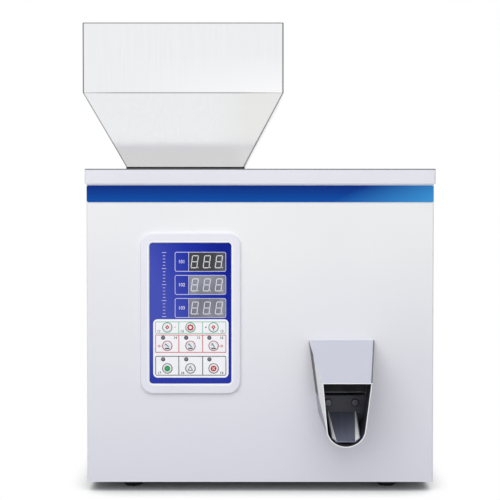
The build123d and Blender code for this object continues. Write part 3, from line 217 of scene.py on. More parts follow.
def hopperSteel():
    # bright sheet with painted light: a dark line of painted shade along the rim, dark lines of painted reflection at
    # the fold and along the bends, a painted highlight over the fold, painted shade greying it to the right below the
    # fold, and greyer at the foot
    low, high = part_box("hopper")
    sheet = {"face": hexColour("F2F3F5"), "shade": hexColour("EEEFF1"), "glow": hexColour("FCFCFD"),
             "right": hexColour("ECECEB"), "foot": hexColour("F8F8F1"), "line": hexColour("7A7C7E"),
             "rim": hexColour("54565A"), "fold": high.z - 70.0 * mm, "foldLine": 0.45 * mm, "rimLine": 0.9 * mm,
             "footTop": high.z - 118.0 * mm, "footLow": high.z - 130.0 * mm, "neck": high.z - 143.4 * mm}
    material, start = paint("hopper stainless")
    fine = noise(start, 380.0, 3.0, (1.0, 1.0, 0.05), 0.65)
    broad = noise(start, 14.0, 2.0)
    level = axis(start, "Z")
    across = axis(start, "X")
    tone = mixed(start, band(start, fine, 0.25, 0.75), sheet["face"], sheet["shade"])
    # painted highlight: brighter just over the fold, towards the right
    glow = band(start, level, sheet["fold"] + 0.040, sheet["fold"]) * (level > sheet["fold"])
    tone = mixed(start, glow * band(start, across, -0.15, 0.0), tone, sheet["glow"])
    # painted shade: greyer to the right below the fold
    below = level < sheet["fold"]
    tone = mixed(start, below * band(start, across, -0.050, -0.015), tone, sheet["right"])
    foot = band(start, level, sheet["footTop"], sheet["footLow"]) * (level > sheet["neck"])
    tone = mixed(start, foot, tone, sheet["foot"])
    # painted reflection: dark lines at the fold, strongest in the middle, and along the bends
    fold = size(start, level - sheet["fold"]) < sheet["foldLine"]
    middle = 1.0 - band(start, size(start, across + 0.085), 0.060, 0.100) * 0.6
    sideways = band(start, size(start, facing(start, "X")), 0.12, 0.30)
    forward = band(start, size(start, facing(start, "Y")), 0.12, 0.30)
    tone = mixed(start, fold * middle * 0.8, tone, sheet["line"])
    tone = mixed(start, sideways * forward * 0.75, tone, sheet["line"])
    # painted shade: a dark line along the top of the rim
    tone = mixed(start, level > high.z - sheet["rimLine"], tone, sheet["rim"])
    close(start, {
        "Base Color": tone,
        "Metallic": 1.0,
        "Roughness": 0.20 + (fine - 0.5) * 0.03 + broad * 0.05,
        "Normal": bump(start, fine, 0.05, 0.00008),
    })
    return material


def brushed(name, colour, shade, roughness, stretch, streak=0.06):
    # sheet metal with a fine grain along one direction
    material, start = paint(name)
    fine = noise(start, 380.0, 3.0, stretch, 0.65)
    broad = noise(start, 14.0, 2.0)
    tone = mixed(start, band(start, fine, 0.25, 0.75), colour, shade)
    close(start, {
        "Base Color": mixed(start, band(start, broad, 0.3, 0.7) * 0.35, tone, shade),
        "Metallic": 1.0,
        "Roughness": roughness + (fine - 0.5) * streak + broad * 0.05,
        "Normal": bump(start, fine, 0.06, 0.00008),
    })
    return material


def spoutSteel():
    # painted light and shade by facing: left walls and cut edges painted white as lit, the cover lavender, the
    # underside and the right wall painted grey and dark as shade, black painted shade at the root of the walls and
    # along the cover's right edge, and dark painted shade in the channel
    spout = {"wall": hexColour("FFFFFF"), "cover": hexColour("D0D2DE"), "belly": hexColour("9596A3"),
             "far": hexColour("74747F"), "root": hexColour("101016"), "inside": hexColour("50505C"),
             "deep": hexColour("34343E"), "axisZ": 0.082, "rootDepth": 0.0230, "seam": hexColour("3A3A42"),
             "mouthHalf": 0.0236, "taper": 0.155, "seamWidth": 0.0013, "plate": 0.020,
             "bellyTop": 0.100, "bellyDepth": 0.020, "bellySlope": 1.2}
    material, start = paint("spout stainless")
    fine = noise(start, 300.0, 2.0, (0.15, 0.15, 1.0), 0.6)
    normal = start.node("NewGeometry", out=1)
    facingX = facing(start, "X")
    facingY = facing(start, "Y")
    facingZ = facing(start, "Z")
    around = start.node("VectorMath", {"operation": "SUBTRACT"}, {0: place(start), 1: (spoutX, 0.0, spout["axisZ"])})
    flat = start.node("VectorMath", {"operation": "MULTIPLY"}, {0: around, 1: (1.0, 0.0, 1.0)})
    outward = start.node("VectorMath", {"operation": "DOT_PRODUCT"}, {0: flat, 1: normal}, out=1)
    depth = spoutRear - axis(start, "Y")
    level = axis(start, "Z")
    front = facingY < -0.90
    rim = front * (depth > spout["plate"])
    plate = front * (depth < spout["plate"])
    inward = start.sum("MAXIMUM", band(start, outward, -0.001, -0.004) * (1.0 - rim), plate)
    leftward = band(start, facingX, -0.50, -0.80)
    upward = band(start, facingZ, 0.35, 0.45)
    downward = band(start, facingZ, -0.22, -0.35)
    rightward = band(start, facingX, 0.80, 0.90)
    # painted shade: black at the root of the left wall, against the case
    root = (facingX < -0.80) * band(start, depth, spout["rootDepth"], spout["rootDepth"] * 0.8)
    root = root * (level > spout["bellyTop"])
    # painted shade on the lower left wall, where it curves under
    under = spout["bellyTop"] - level
    belly = (facingX < -0.80) * (under > 0.0) * band(start, depth - under * spout["bellySlope"],
                                                      spout["bellyDepth"] + 0.002, spout["bellyDepth"] - 0.002)
    # painted shade: a dark line along the cover's right edge, from its corner at the case down to the mouth
    edge = (axis(start, "Y") - spoutBox[0].y) * spout["taper"] + (spout["mouthHalf"] - spout["seamWidth"] + spoutX)
    seam = (axis(start, "X") > edge) * upward
    # lit and shaded copies by facing: walls painted white as lit, the cover lavender, downward faces grey and the
    # right wall dark as painted shade
    tone = mixed(start, upward, spout["wall"], spout["cover"])
    tone = mixed(start, downward, tone, spout["belly"])
    tone = mixed(start, rightward, tone, spout["far"])
    tone = mixed(start, belly, tone, spout["belly"])
    tone = mixed(start, root, tone, spout["root"])
    tone = mixed(start, seam * 0.8, tone, spout["seam"])
    # painted highlight: the mouth rim is white
    tone = mixed(start, rim, tone, spout["wall"])
    # painted shade inside the channel and on the plate at the root, mottled
    inner = mixed(start, band(start, fine, 0.2, 0.8), spout["inside"], spout["deep"])
    close(start, {
        "Base Color": mixed(start, inward, tone, inner),
        "Metallic": start.node("Clamp", None, {0: 0.75 - upward * 0.35 - rim * 0.7 - leftward * 0.65 - inward * 0.3}),
        "Roughness": 0.34 + (fine - 0.5) * 0.05,
        "Normal": bump(start, fine, 0.02, 0.00005),
    })
    return material


def tongueSteel():
    # floor painted a dark slate as shade, darker on the tab, between folded wings painted white as highlight
    tongue = {"floor": hexColour("7E8396"), "deep": hexColour("6A6F82"), "edge": hexColour("FFFFFF"),
              "tab": hexColour("44444E"), "tabZ": 0.0815}
    material, start = paint("folded tongue stainless")
    fine = noise(start, 300.0, 3.0, (1.0, 0.08, 0.08), 0.6)
    # painted highlight: the wings are white
    wing = band(start, size(start, facing(start, "X")), 0.40, 0.60) * (axis(start, "Z") < tongue["tabZ"])
    # painted shade: the floor is dark slate, mottled
    floor = mixed(start, band(start, fine, 0.2, 0.8), tongue["floor"], tongue["deep"])
    # painted shade: the tab at the top is darker still
    tab = band(start, axis(start, "Z"), tongue["tabZ"] - 0.0015, tongue["tabZ"])
    close(start, {
        "Base Color": mixed(start, wing, mixed(start, tab, floor, tongue["tab"]), tongue["edge"]),
        "Metallic": 0.20 - wing * 0.2,
        "Roughness": 0.40 + (fine - 0.5) * 0.06,
        "Normal": bump(start, fine, 0.03, 0.00006),
    })
    return material


def chuteSteel():
    # dulled by powder, and painted dark as shade inside the case
    material, start = paint("dulled chute stainless")
    dust = noise(start, 60.0, 3.0)
    fine = noise(start, 300.0, 2.0, (1.0, 0.1, 0.1))
    close(start, {
        "Base Color": mixed(start, band(start, dust, 0.35, 0.7), hexColour("8C8B93"), hexColour("6E6D76")),
        "Metallic": 0.3,
        "Roughness": 0.45 + (fine - 0.5) * 0.08,
        "Normal": bump(start, fine, 0.03, 0.00006),
    })
    return material


def screwSteel():
    # bright zinc; the spout's two screws, in the shade of its mouth, are painted dark as shade, grey on the faces that
    # look out
    low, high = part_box("spout_tongue")
    reach = (high.x - low.x) / 2
    material, start = paint("screw zinc")
    fine = noise(start, 600.0, 2.0)
    near = size(start, axis(start, "X") - spoutX) < reach
    front = near * (axis(start, "Y") < spoutRear) * (axis(start, "Z") < high.z + 4 * mm)
    # painted shade on the spout's screws: black, and grey on the faces that look out
    crown = band(start, facing(start, "Y"), -0.86, -0.95)
    tone = mixed(start, band(start, fine, 0.3, 0.7), hexColour("D2D4D8"), hexColour("B9BBC2"))
    close(start, {
        "Base Color": mixed(start, front, tone, mixed(start, crown, hexColour("141419"), hexColour("55555F"))),
        "Metallic": 1.0,
        "Roughness": 0.26 + (fine - 0.5) * 0.08,
        "Normal": bump(start, fine, 0.05, 0.00005),
    })
    return material


def rubber(name, colour, roughness=0.72):
    material, start = paint(name)
    grain = noise(start, 1500.0, 2.0)
    dust = noise(start, 90.0, 3.0)
    close(start, {
        "Base Color": mixed(start, band(start, dust, 0.45, 0.8) * 0.35, colour, hexColour("2A2A2D")),
        "Roughness": roughness + (grain - 0.5) * 0.12,
        "Normal": bump(start, grain, 0.12, 0.0002),
    })
    return material


def moulded(name, colour, deep, roughness, grainScale=1400.0, strength=0.08):
    # injection-moulded plastic with a fine spark-eroded texture
    material, start = paint(name)
    grain = noise(start, grainScale, 2.0)
    cloud = noise(start, 18.0, 2.0)
    close(start, {
        "Base Color": mixed(start, band(start, cloud, 0.3, 0.7), colour, deep),
        "Roughness": roughness + (grain - 0.5) * 0.10,
        "Normal": bump(start, grain, strength, 0.00015),
    })
    return material


def bezelPlastic():
    # faint lavender, with a painted white highlight along the lip round the film
    rim = {"face": hexColour("ECECF4"), "deep": hexColour("E7E7F0"), "lip": hexColour("FFFFFF"), "width": 0.0020,
           "corner": 0.0045}
    material, start = paint("bezel plastic")
    grain = noise(start, 1400.0, 2.0)
    cloud = noise(start, 18.0, 2.0)
    # how far a point lies outside the film's rounded outline
    beyond = []
    for name, middle, half in (("X", panelX, (film[1].x - film[0].x) / 2), ("Z", panelZ, (film[1].z - film[0].z) / 2)):
        away = size(start, axis(start, name) - middle * mm)
        beyond.append(start.sum("MAXIMUM", away - (half - rim["corner"]), 0.0))
    corner = start.node("CombineXYZ", None, {0: beyond[0], 1: beyond[1]})
    reach = start.node("VectorMath", {"operation": "LENGTH"}, {0: corner}, out=1) - rim["corner"]
    # painted highlight: white along the lip
    lip = reach < rim["width"]
    face = mixed(start, band(start, cloud, 0.3, 0.7), rim["face"], rim["deep"])
    close(start, {
        "Base Color": mixed(start, lip, face, rim["lip"]),
        "Roughness": 0.42 + (grain - 0.5) * 0.10,
        "Normal": bump(start, grain, 0.06, 0.00015),
    })
    return material


def blueFilm():
    # the printed film, with a painted reflection: lighter and hazier to the left, deeper to the upper right
    tint = {"left": hexColour("4652B6"), "middle": hexColour("1C30A6"), "right": hexColour("001A8E"),
            "foot": hexColour("2635A3")}
    material, start = paint("blue printed film")
    grain = noise(start, 1800.0, 2.0)
    # runs over from left to right, sooner near the top
    across = band(start, axis(start, "X") + axis(start, "Z") * 0.45, -0.012, 0.078)
    up = band(start, axis(start, "Z"), 0.105, 0.150)
    tone = ramp(start, across, [(0.0, tint["left"]), (0.50, tint["middle"]), (0.9, tint["right"])])
    close(start, {
        "Base Color": mixed(start, up, tint["foot"], tone),
        "Specular IOR Level": 0.12,
        "Roughness": 0.34 + (grain - 0.5) * 0.10,
        "Normal": bump(start, grain, 0.05, 0.0001),
    })
    return material


def blueStrip():
    # printed blend: navy along the top and at the left, brighter along the bottom and to the right
    strip = {"navy": hexColour("002A80"), "mid": hexColour("003F94"), "bright": hexColour("0050A8"),
             "sky": hexColour("3C96D8")}
    low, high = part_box("front_strip")
    material, start = paint("blue strip film")
    up = band(start, axis(start, "Z"), low.z, high.z)
    across = band(start, axis(start, "X"), low.x, high.x)
    grain = noise(start, 1600.0, 2.0)
    ends = band(start, across + (1.0 - up) * 0.10, 0.80, 1.10)
    height = ramp(start, up, [(0.0, strip["bright"]), (0.45, strip["mid"]), (1.0, strip["navy"])])
    close(start, {
        "Base Color": mixed(start, ends, height, strip["sky"]),
        "Specular IOR Level": 0.10,
        "Roughness": 0.34 + (grain - 0.5) * 0.08,
        "Normal": bump(start, grain, 0.04, 0.0001),
    })
    return material


def ink(name, colour, roughness=0.45):
    # screen-printed ink, slightly uneven in cover
    material, start = paint(name)
    cover = noise(start, 700.0, 3.0)
    close(start, {
        "Base Color": mixed(start, band(start, cover, 0.2, 0.8) * 0.25, colour, tuple(c * 0.86 for c in colour[:3]) + (1.0,)),
        "Roughness": roughness + (cover - 0.5) * 0.08,
    })
    return material


def displayWindow():
    # the upper window is nearly black under a clouded painted reflection, the two below it grey and mottled
    window = {"black": hexColour("17181F"), "blackHaze": hexColour("50525E"), "grey": hexColour("8A8C98"),
              "greyDeep": hexColour("6C6E7B"), "split": 0.2195}
    material, start = paint("display window")
    haze = noise(start, 60.0, 1.0, (1.0, 1.0, 0.5))
    upper = axis(start, "Z") > window["split"]
    # painted reflection: grey clouds over the black window
    dark = mixed(start, band(start, haze, 0.42, 0.70), window["black"], window["blackHaze"])
    grey = mixed(start, band(start, haze, 0.35, 0.65), window["grey"], window["greyDeep"])
    close(start, {
        "Base Color": mixed(start, upper, grey, dark),
        "Roughness": 0.22 + haze * 0.08,
        "Coat Weight": 0.4,
    })
    return material


def circuitBoard():
    board = {"mask": hexColour("0E5A33"), "track": hexColour("1C7A49"), "part": hexColour("202225"), "pitch": 430.0}
    material, start = paint("circuit board")
    cells = start.node("TexVoronoi", {"feature": "DISTANCE_TO_EDGE", "distance": "MANHATTAN"},
                       {"Vector": place(start, (1.0, 0.001, 1.0)), "Scale": board["pitch"] * 0.6})
    tracks = band(start, cells, 0.16, 0.10)
    low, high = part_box("control_board")
    middle = (low.y + high.y) / 2
    depth = start.node("Math", {"operation": "ABSOLUTE"}, {0: axis(start, "Y") - middle})
    raised = depth > 0.0048
    flat = mixed(start, tracks, board["mask"], board["track"])
    close(start, {
        "Base Color": mixed(start, raised, flat, board["part"]),
        "Roughness": 0.35 + noise(start, 900.0, 1.0) * 0.1,
        "Normal": bump(start, tracks, 0.2, 0.0001),
    })
    return material


def winding(name, wire, gap, turns, along):
    # enamelled wire laid side by side along one axis
    material, start = paint(name)
    rings = start.node("TexWave", {"wave_type": "BANDS", "bands_direction": along, "wave_profile": "SIN"},
                       {"Vector": place(start), "Scale": turns, "Distortion": 0.15, "Detail": 1.0})
    close(start, {
        "Base Color": mixed(start, band(start, rings, 0.1, 0.6), gap, wire),
        "Roughness": 0.28 + noise(start, 300.0, 1.0) * 0.1,
        "Coat Weight": 0.3,
        "Normal": bump(start, rings, 0.6, 0.0004),
    })
    return material


def laminations():
    sheets = {"pitch": 330.0, "iron": hexColour("6B6660"), "gap": hexColour("2E2B29")}
    material, start = paint("varnished laminations")
    lines = start.node("TexWave", {"wave_type": "BANDS", "bands_direction": "Y", "wave_profile": "SAW"},
                       {"Vector": place(start), "Scale": sheets["pitch"]})
    rust = noise(start, 80.0, 3.0)
    tone = mixed(start, band(start, rust, 0.5, 0.75) * 0.5, sheets["iron"], hexColour("6E4A32"))
    close(start, {
        "Base Color": mixed(start, band(start, lines, 0.12, 0.02), tone, sheets["gap"]),
        "Metallic": 0.7,
        "Roughness": 0.5 + rust * 0.1,
        "Normal": bump(start, lines, 0.15, 0.0001),
    })
    return material


def castPaint():
    material, start = paint("painted casting")
    sand = noise(start, 260.0, 4.0, roughness=0.6)
    close(start, {
        "Base Color": mixed(start, band(start, sand, 0.3, 0.7), hexColour("3A3D42"), hexColour("2A2C30")),
        "Roughness": 0.55 + sand * 0.15,
        "Normal": bump(start, sand, 0.35, 0.0006),
    })
    return material


def lampLens():
    material, start = paint("dark lamp lens")
    grain = noise(start, 500.0, 1.0)
    close(start, {
        "Base Color": mixed(start, grain, hexColour("8E869A"), hexColour("706A7E")),
        "Roughness": 0.18 + grain * 0.08,
        "Coat Weight": 0.5,
    })
    return material


def zincPlate():
    # bright zinc with the faint yellow and blue tint of passivation
    material, start = paint("bright zinc plate")
    cloud = noise(start, 22.0, 3.0)
    fine = noise(start, 600.0, 2.0)
    tint = ramp(start, cloud, [(0.3, hexColour("C9CBD2")), (0.5, hexColour("CFCDC4")), (0.7, hexColour("BFC6D0"))])
    close(start, {
        "Base Color": tint,
        "Metallic": 1.0,
        "Roughness": 0.32 + (fine - 0.5) * 0.12,
        "Normal": bump(start, fine, 0.05, 0.0001),
    })
    return material


finish = {
    "powder_coat": powderCoat("satin powder coat", "F2F2F4", "ECECF0"),
    "zinc_sheet": zincPlate(),
    "stainless": brushed("brushed stainless", hexColour("D2D4D8"), hexColour("BABCC1"), 0.30, (1.0, 0.1, 1.0)),
    "dark_stainless": tongueSteel(),
    "steel": brushed("turned steel", hexColour("C4C5C8"), hexColour("A9ABAF"), 0.28, (1.0, 1.0, 0.3)),
    "spring_steel": brushed("blued spring steel", hexColour("6C7180"), hexColour("4A4E5E"), 0.30, (1.0, 0.1, 1.0)),
    "aluminium": brushed("milled aluminium", hexColour("D9DADC"), hexColour("C4C6C9"), 0.36, (0.1, 1.0, 1.0)),
    "cast_iron": castPaint(),
    "core_iron": laminations(),
    "copper_coil": winding("copper winding", hexColour("B4602A"), hexColour("4E2410"), 420.0, "X"),
    "black_rubber": rubber("black rubber", hexColour("0A0A0C")),
    "blue_strip": blueStrip(),
    "bezel_plastic": bezelPlastic(),
    "blue_film": blueFilm(),
    "key_plastic": moulded("key plastic", hexColour("F4F4F6"), hexColour("EBEBEF"), 0.30, 1800.0, 0.04),
    "display_plastic": displayWindow(),
    "lamp_plastic": lampLens(),
    "board_green": circuitBoard(),
    "black_plastic": moulded("black plastic", hexColour("1D1D20"), hexColour("161618"), 0.40),
    "supply_case": brushed("supply cover", hexColour("C6C9CC"), hexColour("B3B6BA"), 0.40, (1.0, 0.1, 1.0)),
    "screw_steel": screwSteel(),
}
print("finishes made:", len(finish))

ownFinish = {
    "case_wrap": powderCoat("satin powder coat of the case", "F3F3F3", "EDEDF0", caseCoat),
    "lid": powderCoat("satin powder coat of the lid", "E9E8F0", "E4E3EC", lidCoat),
    "hopper": hopperSteel(),
    "spout_shell": spoutSteel(),
    "inner_chute": chuteSteel(),
}
slotOf = {part["node"]: part["material_slot"] for part in frame["record"]["subparts"]}
for name, piece in nodes.items():
    for slot in piece.material_slots:
        slot.material = ownFinish.get(name) or finish[slotOf[name]]
print("finishes given to the packed nodes")


# Printing on the film and keys: thin flat pieces that stand a hair proud
inks = {
    "white": ink("white ink", hexColour("FCFCFF")),
    "soft white": ink("soft white ink", hexColour("DADAF4")),
    "green": ink("green ink", hexColour("4DB083")),
    "pale green": ink("pale green ink", hexColour("DDF3E6")),
    "start green": ink("start green ink", hexColour("1E9A4C")),
    "red": ink("red ink", hexColour("CC4450")),
    "stop red": ink("stop red ink", hexColour("C8232C")),
    "black": ink("black ink", hexColour("1E1E26")),
    "grey": ink("grey ink", hexColour("6E7280")),
    "teal": ink("teal ink", hexColour("4E8F93")),
    "digit": ink("digit white", hexColour("E6E6EE"), 0.35),
}


def upright(x, z, turn=0.0, size=(1.0, 1.0)):
    # a flat shape drawn in x and y, stood up to face the operator at x, z in millimetres
    stand = Matrix.Rotation(math.radians(90), 4, "X")
    spin = Matrix.Rotation(math.radians(turn), 4, "Z")
    return Matrix.Translation((x * mm, 0, z * mm)) @ stand @ spin @ Matrix.Diagonal((size[0], size[1], 1, 1))


def roundedFace(bm, x, z, width, height, corner, turn=0.0, steps=5):
    made = bmesh.ops.create_grid(bm, x_segments=1, y_segments=1, size=0.5)
    bmesh.ops.transform(bm, matrix=upright(x, z, turn, (width * mm, height * mm)), verts=made["verts"])
    face = made["verts"][0].link_faces[0]
    if corner:
        found = bmesh.ops.bevel(bm, geom=made["verts"], offset=corner * mm, offset_type="OFFSET", affect="VERTICES",
                                segments=steps, profile=0.5, material=-1, clamp_overlap=True)
        face = max((f for v in found["verts"] for f in v.link_faces), key=lambda f: f.calc_area())
    return face


def disc(bm, x, z, radius, sides=40, turn=0.0):
    made = bmesh.ops.create_circle(bm, cap_ends=True, segments=sides, radius=radius * mm, matrix=upright(x, z, turn))
    return made["verts"][0].link_faces[0]


def hollow(bm, face, line):
    # keeps a line of that width along the face's own edge
    rim = bmesh.ops.inset_region(bm, faces=[face], thickness=line * mm, use_even_offset=True, use_boundary=True)
    bmesh.ops.delete(bm, geom=[face], context="FACES")
    return rim["faces"]


def printed(name, bm, colour, front, body, thick=0.06):
    # gives the flat faces their thickness and lays them on a front, sunk in by a sixth of it
    bmesh.ops.recalc_face_normals(bm, faces=bm.faces)
    for face in bm.faces:
        if face.normal.y > 0:
            face.normal_flip()
    bmesh.ops.solidify(bm, geom=bm.faces[:], thickness=thick * mm)
    deep = max(v.co.y for v in bm.verts)
    bmesh.ops.translate(bm, verts=bm.verts, vec=(0, front - deep + thick * mm / 6, 0))
    bmesh.ops.recalc_face_normals(bm, faces=bm.faces)
    mesh = bpy.data.meshes.new(name)
    bm.to_mesh(mesh)
    bm.free()
    mesh.materials.append(inks[colour])
    piece = bpy.data.objects.new(name, mesh)
    bpy.context.scene.collection.objects.link(piece)
    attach(piece, body)
    return piece


keyGrid = {
    "columns": [panelX - 23.1, panelX, panelX + 23.1],
    "rows": [165.2, 146.8, 124.1],
    "lamps": [154.9, 133.3],
    "lampShift": -4.2,
    "field": (panelX + 0.4, 144.15, 75.2, 58.5, 4.4),
    "hole": 4.75,
    "lampHole": 1.85,
}


def keyField():
    # white ground of the keys, with a hole for every key and lamp
    bm = bmesh.new()
    face = roundedFace(bm, *keyGrid["field"], steps=8)
    bmesh.ops.delete(bm, geom=[face], context="FACES_ONLY")
    for x in keyGrid["columns"]:
        for z in keyGrid["rows"]:
            bmesh.ops.create_circle(bm, segments=32, radius=keyGrid["hole"] * mm, matrix=upright(x, z))
        for z in keyGrid["lamps"]:
            shift = keyGrid["lampShift"]
            bmesh.ops.create_circle(bm, segments=16, radius=keyGrid["lampHole"] * mm, matrix=upright(x + shift, z))
    bmesh.ops.triangle_fill(bm, use_beauty=True, use_dissolve=False, edges=bm.edges[:])
    return printed("print_key_field", bm, "white", filmFront, "case")


def keyFrames():
    # one frame for each row, with its two dividers
    rows = {
        "green": (165.0, 12.0, 0.8, 0.55),
        "red": (148.9, 18.0, 0.4, 0.70),
        "black": (126.8, 19.6, 1.6, 0.70),
    }
    width = 70.8
    front = filmFront - 0.05 * mm
    for colour, (z, height, corner, line) in rows.items():
        bm = bmesh.new()
        hollow(bm, roundedFace(bm, panelX + 0.3, z, width, height, corner), line)
        for x in (panelX - 11.6, panelX + 12.2):
            roundedFace(bm, x, z, line * 1.1, height - 2 * line, 0)
        printed("print_frame_" + colour, bm, colour, front, "case")


def keyRings():
    colours = ["green", "red", "black"]
    front = filmFront - 0.05 * mm
    for colour, z in zip(colours, keyGrid["rows"]):
        bm = bmesh.new()
        for x in keyGrid["columns"]:
            hollow(bm, disc(bm, x, z, 5.15), 0.42)
        printed("print_rings_" + colour, bm, colour, front, "case")
    bm = bmesh.new()
    for x in keyGrid["columns"]:
        for z in keyGrid["lamps"]:
            hollow(bm, disc(bm, x + keyGrid["lampShift"], z, 2.1, 24), 0.3)
    printed("print_rings_lamps", bm, "black", front, "case")


def displayFrames():
    rows = {"centres": [230.8, 207.7, 184.6], "left": panelX - 15.5, "right": panelX + 35.55, "split": panelX - 1.65,
            "height": 19.6, "line": 0.55, "corner": 1.8}
    bm = bmesh.new()
    middle = (rows["left"] + rows["right"]) / 2
    for z in rows["centres"]:
        hollow(bm, roundedFace(bm, middle, z, rows["right"] - rows["left"], rows["height"], rows["corner"]), rows["line"])
        roundedFace(bm, rows["split"], z, rows["line"], rows["height"] - 2 * rows["line"], 0)
    printed("print_display_frames", bm, "soft white", filmFront, "case")


def digits():
    # unlit seven-segment figures: thin leaning bars round two stacked loops, and a point
    digit = {"wide": 5.8, "tall": 12.0, "line": 0.8, "lean": 8.0, "places": [5.3, 17.4, 29.4]}
    low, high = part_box("display_modules")
    front = low.y
    left = low.x / mm
    lean = math.tan(math.radians(digit["lean"]))
    for row, z in enumerate([230.8, 207.7, 184.6]):
        bm = bmesh.new()
        for across in digit["places"]:
            x = left + across
            w, h = digit["wide"] / 2, digit["tall"] / 2
            bars = [(x, z + h, 0, w), (x, z, 0, w), (x, z - h, 0, w)]
            bars += [(x + s * w, z + t * h / 2, 90, h / 2) for s in (-1, 1) for t in (-1, 1)]
            before = set(bm.verts)
            for barX, barZ, turn, half in bars:
                roundedFace(bm, barX, barZ, 2 * half - 0.25, digit["line"], digit["line"] * 0.47, turn, 1)
            fresh = [v for v in bm.verts if v not in before]
            shear = Matrix.Identity(4)
            shear[0][2] = lean
            shear[0][3] = -lean * z * mm
            bmesh.ops.transform(bm, matrix=shear, verts=fresh)
            disc(bm, x + w + 0.4, z - h + 0.2, 0.55, 12)
        printed("digits_" + str(row + 1), bm, "digit", front, "case")


def keyIcons():
    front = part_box("key_set")[0].y
    columns = keyGrid["columns"]
    top, middle, low = keyGrid["rows"]

    def icon(name, key, colour, draw, lift=0.0):
        bm = bmesh.new()
        draw(bm)
        printed("icon_" + name, bm, colour, front - lift * mm, key + "_body", 0.05)

    def diamond(x, z):
        def draw(bm):
            hollow(bm, roundedFace(bm, x, z + 0.3, 3.1, 3.1, 0.4, 45), 0.95)
        return draw

    def stem(x, z):
        return lambda bm: roundedFace(bm, x, z - 2.4, 0.8, 1.3, 0)

    icon("minus", "key_minus", "stop red", diamond(columns[0], top))
    icon("plus", "key_plus", "stop red", diamond(columns[2], top))
    icon("plus_stem", "key_plus", "stop red", stem(columns[2], top))

    def gear(bm):
        hollow(bm, disc(bm, columns[1], top, 2.9), 1.3)
        for step in range(8):
            angle = math.radians(step * 45)
            x, z = columns[1] + 2.85 * math.cos(angle), top + 2.85 * math.sin(angle)
            roundedFace(bm, x, z, 0.8, 1.1, 0.1, step * 45)

    icon("set", "key_set", "stop red", gear)

    for key, x, turn in (("key_fast", columns[0], 40), ("key_medium", columns[1], 52), ("key_slow", columns[2], 62)):
        icon(key[4:] + "_foot", key, "black", lambda bm: roundedFace(bm, x, middle - 2.5, 4.4, 1.2, 0.2))
        icon(key[4:] + "_needle", key, "teal", lambda bm: roundedFace(bm, x - 0.3, middle + 0.6, 4.6, 1.1, 0.3, -turn))
        arc = [(x - 1.6, middle + 1.9), (x - 2.2, middle + 0.9)]
        icon(key[4:] + "_marks", key, "grey", lambda bm: [disc(bm, a, b, 0.45, 12) for a, b in arc])

    icon("start", "key_start", "start green", lambda bm: disc(bm, columns[0], low, 2.9))
    icon("stop", "key_stop", "stop red", lambda bm: disc(bm, columns[2], low, 2.9))
    cross = [(45, columns[2], low), (-45, columns[2], low)]
    icon("stop_cross", "key_stop", "white", lambda bm: [roundedFace(bm, x, z, 3.2, 0.6, 0.1, t) for t, x, z in cross], 0.05)
    spark = [(0, columns[0], low), (60, columns[0], low), (120, columns[0], low)]
    icon("start_star", "key_start", "green", lambda bm: [roundedFace(bm, x, z, 3.0, 0.45, 0.1, t) for t, x, z in spark], 0.05)

    def wedge(bm):
        face = disc(bm, columns[1] - 0.2, low - 0.4, 3.3, 3, 0)
        hollow(bm, face, 0.6)

    icon("empty", "key_empty", "black", wedge)


def sideMarks():
    # arrows at the ends of the middle row, a dash and a point in the top row
    front = filmFront - 0.05 * mm
    columns = keyGrid["columns"]
    middle = keyGrid["rows"][1]
    bm = bmesh.new()
    for side, x in ((-1, columns[0] - 8.3), (1, columns[2] + 8.3)):
        hollow(bm, roundedFace(bm, x, middle - 0.3, 2.1, 2.1, 0.2, 45), 0.5)
        roundedFace(bm, x - side * 2.2, middle - 0.3, 1.3, 0.6, 0)
    roundedFace(bm, columns[0] + 7.8, keyGrid["rows"][0] + 0.2, 1.5, 0.5, 0)
    printed("print_arrows", bm, "stop red", front, "case")
    bm = bmesh.new()
    disc(bm, columns[2] - 7.6, keyGrid["rows"][0] + 0.2, 0.7, 16)
    printed("print_point", bm, "black", front, "case")


def numerals(name, items, size, colour, front, body="case"):
    # plain figures beside the keys and displays
    parts = []
    for text, x, z in items:
        data = bpy.data.curves.new(name, "FONT")
        data.body = text
        data.size = size * mm
        data.align_x = "CENTER"
        data.align_y = "CENTER"
        data.extrude = 0.03 * mm
        data.offset = 0.016 * size * mm  # bolder strokes
        data.resolution_u = 3
        label = bpy.data.objects.new(name, data)
        bpy.context.scene.collection.objects.link(label)
        bpy.context.view_layer.update()
        mesh = bpy.data.meshes.new_from_object(label.evaluated_get(bpy.context.evaluated_depsgraph_get()))
        mesh.transform(Matrix.Translation((x * mm, front - 0.02 * mm, z * mm)) @ Matrix.Rotation(math.radians(90), 4, "X"))
        parts.append(mesh)
        bpy.data.objects.remove(label)
    bm = bmesh.new()
    for mesh in parts:
        bm.from_mesh(mesh)
        bpy.data.meshes.remove(mesh)
    bmesh.ops.remove_doubles(bm, verts=bm.verts, dist=1e-7)
    bmesh.ops.recalc_face_normals(bm, faces=bm.faces)
    mesh = bpy.data.meshes.new(name)
    bm.to_mesh(mesh)
    bm.free()
    mesh.materials.clear()
    mesh.materials.append(inks[colour])
    piece = bpy.data.objects.new(name, mesh)
    bpy.context.scene.collection.objects.link(piece)
    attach(piece, body)


def panelScale():
    # upright scale of ticks at the left of the displays
    ticks = {"x": panelX - 26.2, "low": 176.0, "high": 240.0, "pitch": 3.2}
    bm = bmesh.new()
    count = int((ticks["high"] - ticks["low"]) / ticks["pitch"]) + 1
    for step in range(count):
        long = 4.2 if step % 5 == 0 else 2.4
        roundedFace(bm, ticks["x"], ticks["low"] + step * ticks["pitch"], long, 0.5, 0)
    printed("print_scale", bm, "soft white", filmFront, "case")


